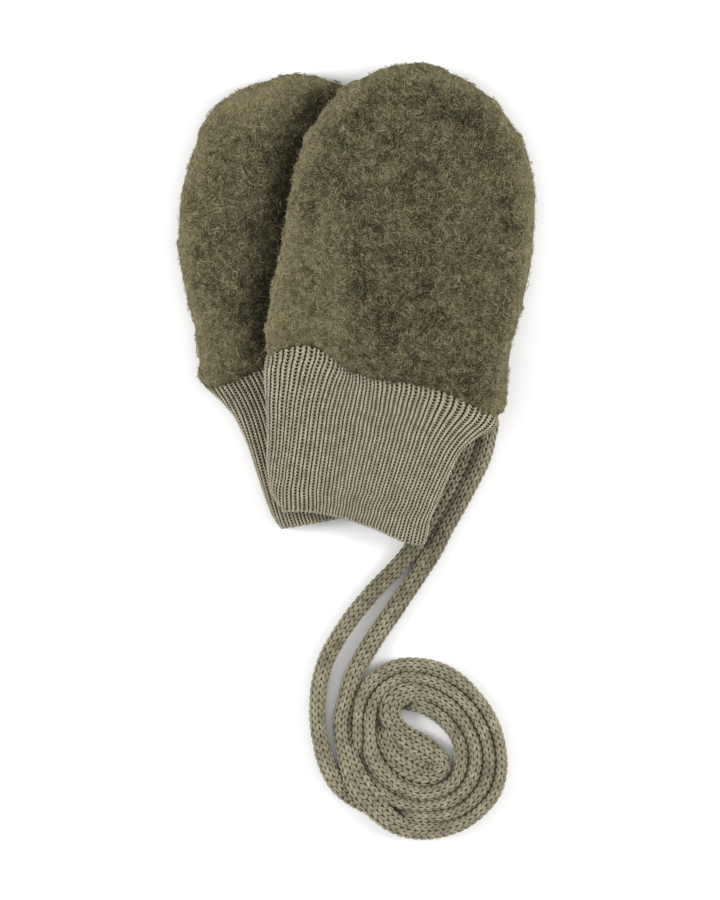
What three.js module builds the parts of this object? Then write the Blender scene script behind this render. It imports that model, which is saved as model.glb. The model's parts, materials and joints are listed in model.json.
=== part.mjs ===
// A pair of thumbless baby mittens, lying flat, with the knitted cord that joins them.
// Millimetres. +X to the right, +Y towards the finger tips, +Z up from the surface they lie on.
// Each mitten is cut as two felted wool hand panels and one doubled rib cuff, sewn at the wrist.
// The front mitten lies over the back one, and the cord ends in a flat wound coil.

import * as THREE from 'three';

// Driving dimensions of the cloth
const SEAM_GAP = 0.3;
const HAND_HEIGHT = 7.6;
const HAND_CROWN = 0.8;
const HAND_HOLLOW = 0.8;
const EDGE_HALF = 0.8;
const EDGE_ROUND = 4.4;
const WRIST_HALF = 2.6;
const WRIST_ROUND = 3;
const CROWN_REACH = 14;
const CUFF_HEIGHT = 5.2;
const CUFF_WALL = 2.2;
const RIB_RISE = 0.5;
const RIBS_ACROSS = 27;
const RIB_FADE = 0.6;
const HEM_ROUND = 0.7;

// Driving dimensions of the cord, which is a soft knitted tube
const CORD_WIDTH = 5;
const CORD_HEIGHT = 4.6;
const COIL_HEIGHT = 6.2;
const COIL_EDGE = 1.6;
const COIL_CENTRE = { x: 20.9, y: -146 };

// How the front mitten drapes over what is under it
const DRAPE_CLEARANCE = 0.5;
const DRAPE_SHOULDER = 2;
const CORD_SHOULDER = 4;
const DRAPE_FALL = 28;
const DRAPE_SHARPNESS = 8;

// How finely the surfaces are divided
const HAND_COLUMNS = 26;
const HAND_ROWS = 14;
const EDGE_BIAS = 0.6;
const CUFF_UNDER_STEPS = 14;
const CUFF_ROWS = [0, 0.1, 0.24, 0.38, 0.52, 0.66, 0.8, 0.93, 1];
const OUTLINE_STEPS = 40;
const SEAM_STEPS = 100;
const WAVE_STEPS = 200;
const LEAD_SIDES = 10;
const LEAD_STEP = 10;

// Outlines, a row for each place along an edge
const FRONT = {
  handLeft: [
    { x: -28.9, y: -16.6 }, { x: -29.9, y: -11.5 }, { x: -28.3, y: -0.7 }, { x: -26.0, y: 11.5 },
    { x: -23.4, y: 23.3 }, { x: -22.1, y: 34.4 }, { x: -19.5, y: 46.2 }, { x: -14.5, y: 57.7 },
    { x: -9.3, y: 64.9 }, { x: -2.1, y: 71.4 }, { x: 5.8, y: 75.3 },
  ],
  crown: [
    { x: 5.8, y: 75.3 }, { x: 13, y: 77.7 }, { x: 20.2, y: 78.9 }, { x: 26.1, y: 77.7 },
    { x: 31.4, y: 75.2 },
  ],
  handRight: [
    { x: 46.1, y: -37.0 }, { x: 48.8, y: -32.5 }, { x: 49.9, y: -22.6 }, { x: 52.1, y: -10.5 },
    { x: 55.0, y: 1.0 }, { x: 57.0, y: 13.4 }, { x: 58.4, y: 24.6 }, { x: 58.3, y: 37.1 },
    { x: 56.3, y: 47.6 }, { x: 53.0, y: 56.0 }, { x: 48.4, y: 63.4 }, { x: 41.2, y: 70.2 },
    { x: 31.4, y: 75.2 },
  ],
  cuffLeft: [
    { x: -29.1, y: -17.0 }, { x: -30.0, y: -23.0 }, { x: -29.4, y: -33.8 }, { x: -29.0, y: -44.9 },
    { x: -29.2, y: -52.8 }, { x: -28.4, y: -58.4 }, { x: -26.7, y: -64.3 }, { x: -23.7, y: -67.9 },
  ],
  cuffRight: [
    { x: 46.1, y: -37.4 }, { x: 45.6, y: -39.9 }, { x: 43.9, y: -41.7 }, { x: 41.2, y: -43.1 },
    { x: 37.6, y: -45.3 }, { x: 34.3, y: -48.5 }, { x: 32.0, y: -52.5 }, { x: 29.7, y: -57.7 },
    { x: 27.8, y: -62.6 }, { x: 25.5, y: -67.6 }, { x: 23.8, y: -71.8 }, { x: 23.2, y: -76.0 },
    { x: 22.0, y: -79.3 },
  ],
  seamWave: [
    { across: 0, lift: 0 }, { across: 0.1, lift: 4.3 }, { across: 0.16, lift: 6.2 },
    { across: 0.23, lift: 6.3 }, { across: 0.29, lift: 4.6 }, { across: 0.36, lift: 2.4 },
    { across: 0.45, lift: 1.8 }, { across: 0.54, lift: 2.7 }, { across: 0.65, lift: 3.5 },
    { across: 0.75, lift: 3.8 }, { across: 0.84, lift: 2.5 }, { across: 1, lift: 0 },
  ],
  hemWave: [
    { across: 0, lift: 0 }, { across: 0.15, lift: 1.7 }, { across: 0.3, lift: 2.2 },
    { across: 0.5, lift: 2.1 }, { across: 0.65, lift: 1.5 }, { across: 0.8, lift: 0 },
    { across: 0.9, lift: -0.6 }, { across: 1, lift: 0 },
  ],
  ribPitchHem: 2.43,
  creases: [
    {
      height: -1.3,
      width: 2.6,
      line: [{ x: -3.1, y: -18 }, { x: -2.7, y: -5.6 }, { x: -2.1, y: 7.5 }, { x: -3.7, y: 22.3 }],
    },
    {
      height: 0.8,
      width: 6,
      line: [{ x: -14, y: -14 }, { x: -13, y: -2 }, { x: -12, y: 10 }, { x: -11, y: 22 }],
    },
  ],
};

const BACK = {
  handLeft: [
    { x: -49.0, y: -27.7 }, { x: -51.3, y: -22.6 }, { x: -52.9, y: -12.1 }, { x: -55.5, y: 1.0 },
    { x: -57.7, y: 13.4 }, { x: -58.4, y: 25.3 }, { x: -57.5, y: 37.1 }, { x: -54.7, y: 46.9 },
    { x: -50.9, y: 56.7 }, { x: -45.7, y: 64.0 }, { x: -38.8, y: 69.4 }, { x: -30.9, y: 72.8 },
  ],
  crown: [
    { x: -30.9, y: 72.8 }, { x: -20.8, y: 74.9 }, { x: -11.9, y: 74.0 }, { x: -3.4, y: 71.2 },
  ],
  handRight: [
    { x: 27.5, y: -10.8 }, { x: 28.8, y: -5.6 }, { x: 27.4, y: 5.9 }, { x: 26.9, y: 20.7 },
    { x: 25.5, y: 33.8 }, { x: 22.2, y: 45.3 }, { x: 16.0, y: 56.7 }, { x: 7.8, y: 65.3 },
    { x: -3.4, y: 71.2 },
  ],
  cuffLeft: [
    { x: -48.7, y: -28.1 }, { x: -43.0, y: -33.0 }, { x: -38.7, y: -38.4 }, { x: -34.9, y: -46.9 },
    { x: -31.3, y: -57.4 }, { x: -28.3, y: -66.9 }, { x: -26.4, y: -71.6 }, { x: -24.4, y: -73.8 },
  ],
  cuffRight: [
    { x: 27.4, y: -11.2 }, { x: 27.5, y: -16.1 }, { x: 26.8, y: -25.3 }, { x: 26.1, y: -35.1 },
    { x: 25.5, y: -44.9 }, { x: 24.8, y: -54.8 }, { x: 23.5, y: -62.0 },
  ],
  seamWave: [
    { across: 0, lift: 0 }, { across: 0.12, lift: 0.8 }, { across: 0.25, lift: 3 },
    { across: 0.5, lift: 3 }, { across: 0.75, lift: 2 }, { across: 1, lift: 0 },
  ],
  hemWave: [
    { across: 0, lift: 0 }, { across: 0.25, lift: -1 }, { across: 0.6, lift: -1.5 },
    { across: 1, lift: 0 },
  ],
  ribPitchHem: 2.3,
  creases: [
    {
      height: -0.8,
      width: 4,
      line: [{ x: -24, y: -14 }, { x: -30, y: 4 }, { x: -33, y: 20 }, { x: -33, y: 34 }],
    },
  ],
};

// Routes of the two cord leads, from the wrist seams to the coil
const FRONT_LEAD = [
  { x: 43.2, y: -33.5 }, { x: 44.4, y: -39.5 }, { x: 43.6, y: -43.5 }, { x: 42.6, y: -47.8 },
  { x: 41.2, y: -51.8 }, { x: 39.0, y: -56.6 }, { x: 36.2, y: -62.0 }, { x: 32.6, y: -68.2 },
  { x: 29.2, y: -73.8 }, { x: 25.4, y: -80.4 }, { x: 21.0, y: -87.0 }, { x: 15.3, y: -95.4 },
  { x: 11.7, y: -102.0 }, { x: 7.8, y: -108.6 }, { x: 4.2, y: -114.8 }, { x: 0.4, y: -122.0 },
  { x: -2.4, y: -129.4 }, { x: -3.9, y: -137.1 }, { x: -3.9, y: -144.0 }, { x: -3.5, y: -148.6 },
];
const BACK_LEAD = [
  { x: 30.4, y: -10.6 }, { x: 34.8, y: -17.5 }, { x: 37.8, y: -27.0 }, { x: 38.3, y: -36.5 },
  { x: 37.0, y: -44.0 }, { x: 34.5, y: -50.8 }, { x: 31.9, y: -56.2 }, { x: 29.0, y: -61.6 },
  { x: 25.4, y: -67.6 }, { x: 21.8, y: -73.4 }, { x: 17.2, y: -80.6 }, { x: 13.0, y: -86.6 },
  { x: 7.8, y: -93.8 }, { x: 0.8, y: -102.0 }, { x: -5.1, y: -109.6 }, { x: -8.9, y: -115.8 },
  { x: -10.9, y: -120.2 }, { x: -12.2, y: -126.0 }, { x: -12.7, y: -132.0 },
  { x: -12.6, y: -138.0 }, { x: -11.8, y: -143.5 }, { x: -10.5, y: -149.2 },
];

// The coil's rim, as a radius at each angle, opening inwards round one turn
const COIL_RIM = [
  { angle: 187.8, radius: 34.2 }, { angle: 198, radius: 33 }, { angle: 206, radius: 31.5 },
  { angle: 214, radius: 30 }, { angle: 226, radius: 28.7 }, { angle: 240, radius: 28.5 },
  { angle: 257, radius: 29.6 }, { angle: 275, radius: 30.2 }, { angle: 300, radius: 30.7 },
  { angle: 330, radius: 30.8 }, { angle: 350, radius: 29.4 }, { angle: 365, radius: 28.1 },
  { angle: 383, radius: 27.4 }, { angle: 403, radius: 27 }, { angle: 427, radius: 28.5 },
  { angle: 450, radius: 29.5 }, { angle: 475, radius: 29.7 }, { angle: 490, radius: 27.9 },
  { angle: 505, radius: 25 }, { angle: 520, radius: 22.7 }, { angle: 534, radius: 21.2 },
  { angle: 547.8, radius: 20.7 },
];
const COIL_RIM_STEP = 8;

// The slot left open in the middle of the coil, beside the fold at the cord's middle
const COIL_SLOT = [
  { x: 15.0, y: -134.8 }, { x: 17.6, y: -133.5 }, { x: 21.9, y: -135.5 }, { x: 27.8, y: -139.4 },
  { x: 31.1, y: -143.3 }, { x: 32.2, y: -147.3 }, { x: 31.9, y: -151.0 }, { x: 30.6, y: -151.4 },
  { x: 29.2, y: -147.3 }, { x: 25.2, y: -143.3 }, { x: 19.3, y: -139.4 }, { x: 15.6, y: -136.8 },
];

const wool = new THREE.MeshStandardMaterial({ color: 0x5e5943, roughness: 1, metalness: 0 });
const ribKnit = new THREE.MeshStandardMaterial({ color: 0x857e69, roughness: 0.95, metalness: 0 });
const cordKnit = new THREE.MeshStandardMaterial({ color: 0x7f7963, roughness: 0.95, metalness: 0 });

const lerp = THREE.MathUtils.lerp;
const smooth = (value) => THREE.MathUtils.smoothstep(value, 0, 1);

// Reads a table as a straight-line function of one of its columns
function lookUp(table, key, field, at) {
  let row = 1;
  while (row < table.length - 1 && table[row][key] < at) {
    row += 1;
  }
  const before = table[row - 1];
  const after = table[row];
  const share = (at - before[key]) / (after[key] - before[key]);
  return lerp(before[field], after[field], THREE.MathUtils.clamp(share, 0, 1));
}

// A smooth wave across a mitten, through the rows of its table
function waveThrough(rows) {
  const curve = new THREE.SplineCurve(rows.map((row) => new THREE.Vector2(row.across, row.lift)));
  const points = curve.getPoints(WAVE_STEPS);
  return (across) => lookUp(points, 'x', 'y', across);
}

const curveThrough = (rows) => new THREE.SplineCurve(rows.map((row) => new THREE.Vector2(row.x, row.y)));

// Places along an edge, evenly spaced but closer together near both ends
function spacing(count) {
  const places = [];
  for (let step = 0; step <= count; step += 1) {
    const even = step / count;
    places.push(lerp(even, (1 - Math.cos(Math.PI * even)) / 2, EDGE_BIAS));
  }
  return places;
}

// Distance from a point to a line of points
function distanceTo(points, x, y) {
  let nearest = Infinity;
  for (let index = 1; index < points.length; index += 1) {
    const a = points[index - 1];
    const b = points[index];
    const dx = b.x - a.x;
    const dy = b.y - a.y;
    const along = ((x - a.x) * dx + (y - a.y) * dy) / (dx * dx + dy * dy);
    const share = THREE.MathUtils.clamp(along, 0, 1);
    nearest = Math.min(nearest, Math.hypot(x - a.x - share * dx, y - a.y - share * dy));
  }
  return nearest;
}

// Whether a point lies inside a closed ring of points
function isInside(ring, x, y) {
  let inside = false;
  ring.forEach((a, index) => {
    const b = ring[(index + 1) % ring.length];
    if (a.y > y !== b.y > y && x < a.x + ((y - a.y) / (b.y - a.y)) * (b.x - a.x)) {
      inside = !inside;
    }
  });
  return inside;
}

// The soft rise of an edge, from 0 at the edge to 1 at its radius and beyond
function roundOver(distance, radius) {
  const short = 1 - Math.min(distance / radius, 1);
  return Math.sqrt(1 - short * short);
}

// The curves, seam and outline of one mitten, worked out from its tables
function layOut(mitten) {
  const left = curveThrough(mitten.handLeft);
  const right = curveThrough(mitten.handRight);
  const crown = curveThrough(mitten.crown);
  const cuffLeft = curveThrough(mitten.cuffLeft);
  const cuffRight = curveThrough(mitten.cuffRight);
  const seamLift = waveThrough(mitten.seamWave);
  const hemLift = waveThrough(mitten.hemWave);
  const wristLeft = left.getPointAt(0);
  const wristRight = right.getPointAt(0);
  const seam = (across) => {
    const point = wristLeft.clone().lerp(wristRight, across);
    point.y += seamLift(across);
    return point;
  };
  const steps = Array.from({ length: OUTLINE_STEPS + 1 }, (_, index) => index / OUTLINE_STEPS);
  const sides = steps.map((at) => left.getPointAt(at));
  sides.push(...steps.slice(1).map((at) => crown.getPointAt(at)));
  sides.push(...steps.slice(1).map((at) => right.getPointAt(1 - at)));
  const seamLine = Array.from({ length: SEAM_STEPS + 1 }, (_, index) => seam(index / SEAM_STEPS));
  const handRing = sides.concat(seamLine.slice(1, -1).reverse());
  const cuffRing = steps.map((at) => cuffLeft.getPointAt(at));
  cuffRing.push(...steps.map((at) => cuffRight.getPointAt(1 - at)));
  return { mitten, left, right, crown, cuffLeft, cuffRight, seam, seamLift, hemLift, sides,
    seamLine, handRing, cuffRing };
}

const backLayout = layOut(BACK);
const frontLayout = layOut(FRONT);
const leadPoints = (rows) => curveThrough(rows).getSpacedPoints(OUTLINE_STEPS);

// What the front mitten lies over, each with its own height
const beneath = [
  { ring: backLayout.handRing, top: HAND_HEIGHT + HAND_CROWN, shoulder: DRAPE_SHOULDER },
  { ring: backLayout.cuffRing, top: CUFF_HEIGHT + RIB_RISE, shoulder: DRAPE_SHOULDER },
  { line: leadPoints(FRONT_LEAD), top: CORD_HEIGHT, shoulder: CORD_WIDTH / 2 + CORD_SHOULDER },
  { line: leadPoints(BACK_LEAD), top: CORD_HEIGHT, shoulder: CORD_WIDTH / 2 + CORD_SHOULDER },
];

// Height of the front mitten's underside above the surface, falling softly past what is beneath
function drape(x, y) {
  let sum = 0;
  beneath.forEach(({ ring, line, top, shoulder }) => {
    const covered = ring !== undefined && isInside(ring, x, y);
    const away = covered ? 0 : distanceTo(ring ? ring.concat([ring[0]]) : line, x, y);
    const share = 1 - smooth((away - shoulder) / DRAPE_FALL);
    sum += ((top + DRAPE_CLEARANCE) * share) ** DRAPE_SHARPNESS;
  });
  return sum ** (1 / DRAPE_SHARPNESS);
}

const flat = () => 0;

// Four edges blended into one smooth patch, from the wrist seam at 0 to the crown at 1
function handPoint(layout, across, along) {
  const { left, right, crown, seam } = layout;
  const point = seam(across).multiplyScalar(1 - along);
  point.add(crown.getPointAt(across).multiplyScalar(along));
  point.add(left.getPointAt(along).multiplyScalar(1 - across));
  point.add(right.getPointAt(along).multiplyScalar(across));
  point.sub(seam(0).multiplyScalar((1 - across) * (1 - along)));
  point.sub(seam(1).multiplyScalar(across * (1 - along)));
  point.sub(crown.getPointAt(0).multiplyScalar((1 - across) * along));
  point.sub(crown.getPointAt(1).multiplyScalar(across * along));
  return point;
}

// Rise of the soft folds on the upper panel
function creaseRise(creases, x, y) {
  let rise = 0;
  creases.forEach(({ height, width, line }) => {
    rise += height * Math.exp(-((distanceTo(line, x, y) / width) ** 2));
  });
  return rise;
}

// Half the thickness of the hand at a point, soft at the outline and at the wrist
function handHalf(layout, x, y) {
  const toSide = distanceTo(layout.sides, x, y);
  const toSeam = distanceTo(layout.seamLine, x, y);
  const middle = HAND_HEIGHT / 2;
  const side = lerp(EDGE_HALF, middle, roundOver(toSide, EDGE_ROUND));
  const wrist = lerp(WRIST_HALF, middle, roundOver(toSeam, WRIST_ROUND));
  return { half: Math.min(side, wrist), inward: Math.min(toSide, toSeam) };
}

function finished(positions, faces) {
  const geometry = new THREE.BufferGeometry();
  geometry.setAttribute('position', new THREE.Float32BufferAttribute(positions, 3));
  geometry.setIndex(faces);
  geometry.computeVertexNormals();
  return geometry;
}

// A wall with four free edges, from rows of points on its two sides
function panelGeometry(outer, inner) {
  const rows = outer.length;
  const columns = outer[0].length;
  const positions = outer.concat(inner).flatMap((row) => row.flatMap((point) => point.toArray()));
  const at = (row, column, side) => side * rows * columns + row * columns + column;
  const faces = [];
  const corner = (index) => new THREE.Vector3().fromArray(positions, index * 3);
  const quad = (a, b, c, d) => {
    if (corner(a).distanceTo(corner(c)) < corner(b).distanceTo(corner(d))) {
      faces.push(a, b, c, a, c, d);
    } else {
      faces.push(a, b, d, b, c, d);
    }
  };
  for (let row = 0; row < rows - 1; row += 1) {
    for (let column = 0; column < columns - 1; column += 1) {
      quad(at(row, column, 0), at(row, column + 1, 0), at(row + 1, column + 1, 0), at(row + 1, column, 0));
      quad(at(row, column, 1), at(row + 1, column, 1), at(row + 1, column + 1, 1), at(row, column + 1, 1));
    }
  }
  for (let column = 0; column < columns - 1; column += 1) {
    quad(at(0, column, 1), at(0, column + 1, 1), at(0, column + 1, 0), at(0, column, 0));
    quad(at(rows - 1, column, 0), at(rows - 1, column + 1, 0), at(rows - 1, column + 1, 1),
      at(rows - 1, column, 1));
  }
  for (let row = 0; row < rows - 1; row += 1) {
    quad(at(row, 0, 0), at(row + 1, 0, 0), at(row + 1, 0, 1), at(row, 0, 1));
    quad(at(row, columns - 1, 1), at(row + 1, columns - 1, 1), at(row + 1, columns - 1, 0),
      at(row, columns - 1, 0));
  }
  return finished(positions, faces);
}

// A wall that closes on itself round the columns, open at its two ends
function tubeGeometry(outer, inner) {
  const rows = outer.length;
  const columns = outer[0].length;
  const positions = outer.concat(inner).flatMap((row) => row.flatMap((point) => point.toArray()));
  const at = (row, column, side) => side * rows * columns + row * columns + (column % columns);
  const faces = [];
  const quad = (a, b, c, d) => faces.push(a, b, c, a, c, d);
  for (let column = 0; column < columns; column += 1) {
    const next = column + 1;
    for (let row = 0; row < rows - 1; row += 1) {
      quad(at(row, column, 0), at(row + 1, column, 0), at(row + 1, next, 0), at(row, next, 0));
      quad(at(row, column, 1), at(row, next, 1), at(row + 1, next, 1), at(row + 1, column, 1));
    }
    quad(at(0, column, 0), at(0, next, 0), at(0, next, 1), at(0, column, 1));
    quad(at(rows - 1, column, 1), at(rows - 1, next, 1), at(rows - 1, next, 0),
      at(rows - 1, column, 0));
  }
  return finished(positions, faces);
}

// One wool panel of a hand. side is 1 for the upper panel and -1 for the under one.
function handPanel(layout, side, lift) {
  const outer = [];
  const inner = [];
  spacing(HAND_ROWS).forEach((along) => {
    const outerRow = [];
    const innerRow = [];
    spacing(HAND_COLUMNS).forEach((across) => {
      const { x, y } = handPoint(layout, across, along);
      const { half, inward } = handHalf(layout, x, y);
      const puff = 1 - Math.exp(-inward / CROWN_REACH);
      const crown = side > 0 ? HAND_CROWN * puff : 0;
      const crease = side > 0 ? creaseRise(layout.mitten.creases, x, y) * puff : 0;
      const middle = lift(x, y) + HAND_HEIGHT / 2;
      const hollow = lerp(SEAM_GAP, HAND_HOLLOW, puff) / 2;
      outerRow.push(new THREE.Vector3(x, y, middle + side * half + crown + crease));
      innerRow.push(new THREE.Vector3(x, y, middle + side * hollow));
    });
    outer.push(outerRow);
    inner.push(innerRow);
  });
  return side > 0 ? panelGeometry(outer, inner) : panelGeometry(inner, outer);
}

// A point on a flattened tube, by its distance round the section from the middle of the top
function sectionPoint(round, halfWidth, halfHeight) {
  const straight = halfWidth - halfHeight;
  const bend = Math.PI * halfHeight;
  const sign = Math.sign(round) || 1;
  const distance = Math.abs(round);
  if (distance <= straight) {
    return { x: round, z: halfHeight, nx: 0, nz: 1 };
  }
  if (distance >= straight + bend) {
    return { x: sign * (2 * straight + bend - distance), z: -halfHeight, nx: 0, nz: -1 };
  }
  const angle = (distance - straight) / halfHeight;
  const nx = sign * Math.sin(angle);
  const nz = Math.cos(angle);
  return { x: sign * straight + halfHeight * nx, z: halfHeight * nz, nx, nz };
}

// Places round a cuff: two for each rib over the top, then plain steps across the underside
function cuffColumns() {
  const columns = [];
  for (let step = -RIBS_ACROSS; step <= RIBS_ACROSS; step += 1) {
    columns.push({ ribs: step / 2, under: 0, raised: step % 2 === 0 ? 0 : 1 });
  }
  for (let step = 1; step < CUFF_UNDER_STEPS; step += 1) {
    columns.push({ ribs: RIBS_ACROSS / 2, under: step / CUFF_UNDER_STEPS, raised: 0 });
  }
  return columns;
}

// A doubled rib cuff: a flat tube, ribbed over the top and sides and plain inside
function ribCuff(layout, lift) {
  const half = CUFF_HEIGHT / 2;
  const outer = [];
  const inner = [];
  CUFF_ROWS.forEach((along) => {
    const left = layout.cuffLeft.getPointAt(along);
    const right = layout.cuffRight.getPointAt(along);
    const across = right.clone().sub(left);
    const halfWidth = across.length() / 2;
    across.normalize();
    const centre = left.clone().add(right).multiplyScalar(0.5);
    const straight = halfWidth - half;
    const wholeRound = 4 * straight + 2 * Math.PI * half;
    const topPitch = layout.cuffLeft.getPointAt(0).distanceTo(layout.cuffRight.getPointAt(0))
      / RIBS_ACROSS;
    const pitch = lerp(topPitch, layout.mitten.ribPitchHem, along);
    const ribbed = RIBS_ACROSS * pitch;
    const ending = along === 1 ? HEM_ROUND : 0;
    const place = (x, z) => {
      const share = THREE.MathUtils.clamp(0.5 + x / (2 * halfWidth), 0, 1);
      const seamShift = layout.seamLift(share) * (1 - along) ** 2;
      const hemShift = layout.hemLift(share) * along * along;
      const px = centre.x + across.x * x;
      const py = centre.y + across.y * x + seamShift + hemShift;
      return new THREE.Vector3(px, py, lift(px, py) + half + z);
    };
    const outerRow = [];
    const innerRow = [];
    cuffColumns().forEach(({ ribs, under, raised }) => {
      const round = ribs * pitch + under * (wholeRound - ribbed);
      const wrapped = round > wholeRound / 2 ? round - wholeRound : round;
      const point = sectionPoint(wrapped, halfWidth, half);
      const onTop = smooth((point.nz + RIB_FADE) / RIB_FADE);
      const out = RIB_RISE * raised * onTop - ending;
      outerRow.push(place(point.x + point.nx * out, point.z + point.nz * out));
      innerRow.push(place(point.x - point.nx * CUFF_WALL, point.z - point.nz * CUFF_WALL));
    });
    outer.push(outerRow);
    inner.push(innerRow);
  });
  return tubeGeometry(outer, inner);
}

// A lead of the cord, lying on the surface
function cordLead(rows) {
  const route = new THREE.CatmullRomCurve3(
    rows.map((row) => new THREE.Vector3(row.x, row.y, CORD_HEIGHT / 2)),
  );
  const section = new THREE.Shape();
  for (let side = 0; side < LEAD_SIDES; side += 1) {
    const angle = (2 * Math.PI * side) / LEAD_SIDES;
    const x = (Math.cos(angle) * CORD_HEIGHT) / 2;
    const y = (Math.sin(angle) * CORD_WIDTH) / 2;
    if (side === 0) {
      section.moveTo(x, y);
    } else {
      section.lineTo(x, y);
    }
  }
  const steps = Math.round(route.getLength() / LEAD_STEP);
  return new THREE.ExtrudeGeometry(section, { steps, extrudePath: route, bevelEnabled: false });
}

// The wound cord as one flat body, with its rounded rim and the slot in its middle
function cordCoil() {
  const first = COIL_RIM[0].angle;
  const last = COIL_RIM[COIL_RIM.length - 1].angle;
  const steps = Math.round((last - first) / COIL_RIM_STEP);
  const rim = [];
  for (let step = 0; step <= steps; step += 1) {
    const angle = lerp(first, last, step / steps);
    const radius = lookUp(COIL_RIM, 'angle', 'radius', angle);
    const turn = THREE.MathUtils.degToRad(angle);
    rim.push(new THREE.Vector2(
      COIL_CENTRE.x + radius * Math.cos(turn),
      COIL_CENTRE.y + radius * Math.sin(turn),
    ));
  }
  const shape = new THREE.Shape(rim);
  shape.holes.push(new THREE.Path(COIL_SLOT.map((row) => new THREE.Vector2(row.x, row.y))));
  const geometry = new THREE.ExtrudeGeometry(shape, {
    depth: COIL_HEIGHT - 2 * COIL_EDGE,
    bevelEnabled: true,
    bevelThickness: COIL_EDGE,
    bevelSize: COIL_EDGE,
    bevelOffset: -COIL_EDGE,
    bevelSegments: 2,
  });
  geometry.translate(0, 0, COIL_EDGE);
  return geometry;
}

const pair = new THREE.Group();

function add(name, geometry, material) {
  const mesh = new THREE.Mesh(geometry, material);
  mesh.name = name;
  pair.add(mesh);
}

add('back_hand_under', handPanel(backLayout, -1, flat), wool);
add('back_hand_top', handPanel(backLayout, 1, flat), wool);
add('back_cuff', ribCuff(backLayout, flat), ribKnit);
add('front_hand_under', handPanel(frontLayout, -1, drape), wool);
add('front_hand_top', handPanel(frontLayout, 1, drape), wool);
add('front_cuff', ribCuff(frontLayout, drape), ribKnit);
add('cord_lead_front', cordLead(FRONT_LEAD), cordKnit);
add('cord_lead_back', cordLead(BACK_LEAD), cordKnit);
add('cord_coil', cordCoil(), cordKnit);

export default pair;
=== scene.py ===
# %% [markdown]
# # A pair of baby mittens, laid flat
# Two thumbless mittens of felted wool fleece lie one over the other. Each has a long cuff of fine
# rib knit, and one soft knitted cord joins the two and lies wound in a flat coil.
# The imported solids give every size and place. This script dresses them: it hides the solids and
# shows modelled cloth, knitted stitches and loose wool fibres in their stead. This script dresses
# them: it keeps the solids for collision and shows modelled cloth, knitted stitches and loose
# wool fibres in their stead.

# %% Load the frame
import json
import math
import bpy
import numpy as np
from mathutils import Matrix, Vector
from mathutils.bvhtree import BVHTree

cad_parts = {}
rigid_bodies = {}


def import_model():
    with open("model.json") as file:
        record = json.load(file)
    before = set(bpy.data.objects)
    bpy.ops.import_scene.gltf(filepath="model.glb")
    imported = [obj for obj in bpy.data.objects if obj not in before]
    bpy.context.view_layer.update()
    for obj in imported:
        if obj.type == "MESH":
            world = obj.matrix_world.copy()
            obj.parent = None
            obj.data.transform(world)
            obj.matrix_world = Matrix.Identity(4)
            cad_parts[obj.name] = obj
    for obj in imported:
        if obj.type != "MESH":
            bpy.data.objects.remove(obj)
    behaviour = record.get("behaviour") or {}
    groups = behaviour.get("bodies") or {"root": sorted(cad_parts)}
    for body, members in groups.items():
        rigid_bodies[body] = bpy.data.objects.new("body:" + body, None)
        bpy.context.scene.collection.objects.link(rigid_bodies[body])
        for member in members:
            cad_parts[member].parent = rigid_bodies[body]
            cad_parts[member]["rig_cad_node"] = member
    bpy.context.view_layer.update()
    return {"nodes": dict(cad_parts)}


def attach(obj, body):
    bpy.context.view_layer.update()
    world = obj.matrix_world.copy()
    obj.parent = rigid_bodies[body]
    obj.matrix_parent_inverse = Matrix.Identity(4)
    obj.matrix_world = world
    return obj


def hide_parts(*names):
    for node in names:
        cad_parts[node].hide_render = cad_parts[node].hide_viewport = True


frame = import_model()
# The frame is in metres. Most sizes of the cloth are given in millimetres and multiplied by MM
MM = 0.001
print("solids:", ", ".join(sorted(frame["nodes"])))

# %% [markdown]
# ## Camera
# The pair was photographed from straight above, so every outline is seen without slant. A far
# camera with a long lens keeps the thick parts from growing towards the rim of the picture.
# The picture is 720 by 900 pixels, and one pixel covers 0.328 mm of the cloth.

# %% Camera
PIXEL = 0.328
PICTURE_TALL = 900 * PIXEL * MM
PICTURE_MIDDLE = (1.2 * MM, -48.2 * MM)
CAMERA_HEIGHT, CLOTH_LEVEL = 2.4, 8 * MM
SENSOR = 36.0

camera_data = bpy.data.cameras.new("camera_above")
camera_data.sensor_width = SENSOR
camera_data.lens = SENSOR * CAMERA_HEIGHT / PICTURE_TALL
camera_data.clip_end = 20
camera = bpy.data.objects.new("camera_above", camera_data)
camera.location = (*PICTURE_MIDDLE, CAMERA_HEIGHT + CLOTH_LEVEL)
bpy.context.scene.collection.objects.link(camera)
bpy.context.scene.camera = camera
print("lens:", round(camera_data.lens, 1), "mm")

# %% [markdown]
# ## Shared helpers
# Hand work in Blender selects things first, and an operator acts on all that is selected. These
# helpers clear the selection, give every finished mesh its object at the origin and turn its
# faces outward. The others draw smooth lines and let an effect fade away from a place.

# %% Selection and mesh helpers
def select_only(obj):
    """Makes one object the only one that operators act on."""
    for other in bpy.context.view_layer.objects:
        other.select_set(False)
    obj.select_set(True)
    bpy.context.view_layer.objects.active = obj


def mesh_object(name, points, faces):
    """An object from points in metres, none under the floor, and faces of equal corners."""
    points = np.array(points, np.float32)
    points[:, 2] = np.maximum(points[:, 2], 0)
    faces = np.asarray(faces, np.int32)
    corners = faces.shape[1]
    mesh = bpy.data.meshes.new(name)
    mesh.vertices.add(len(points))
    mesh.vertices.foreach_set("co", points.ravel())
    mesh.loops.add(faces.size)
    mesh.loops.foreach_set("vertex_index", faces.ravel())
    mesh.polygons.add(len(faces))
    mesh.polygons.foreach_set("loop_start", np.arange(len(faces), dtype=np.int32) * corners)
    mesh.polygons.foreach_set("use_smooth", np.ones(len(faces), bool))
    mesh.update(calc_edges=True)
    mesh.validate()
    obj = bpy.data.objects.new(name, mesh)
    bpy.context.scene.collection.objects.link(obj)
    return obj


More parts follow.
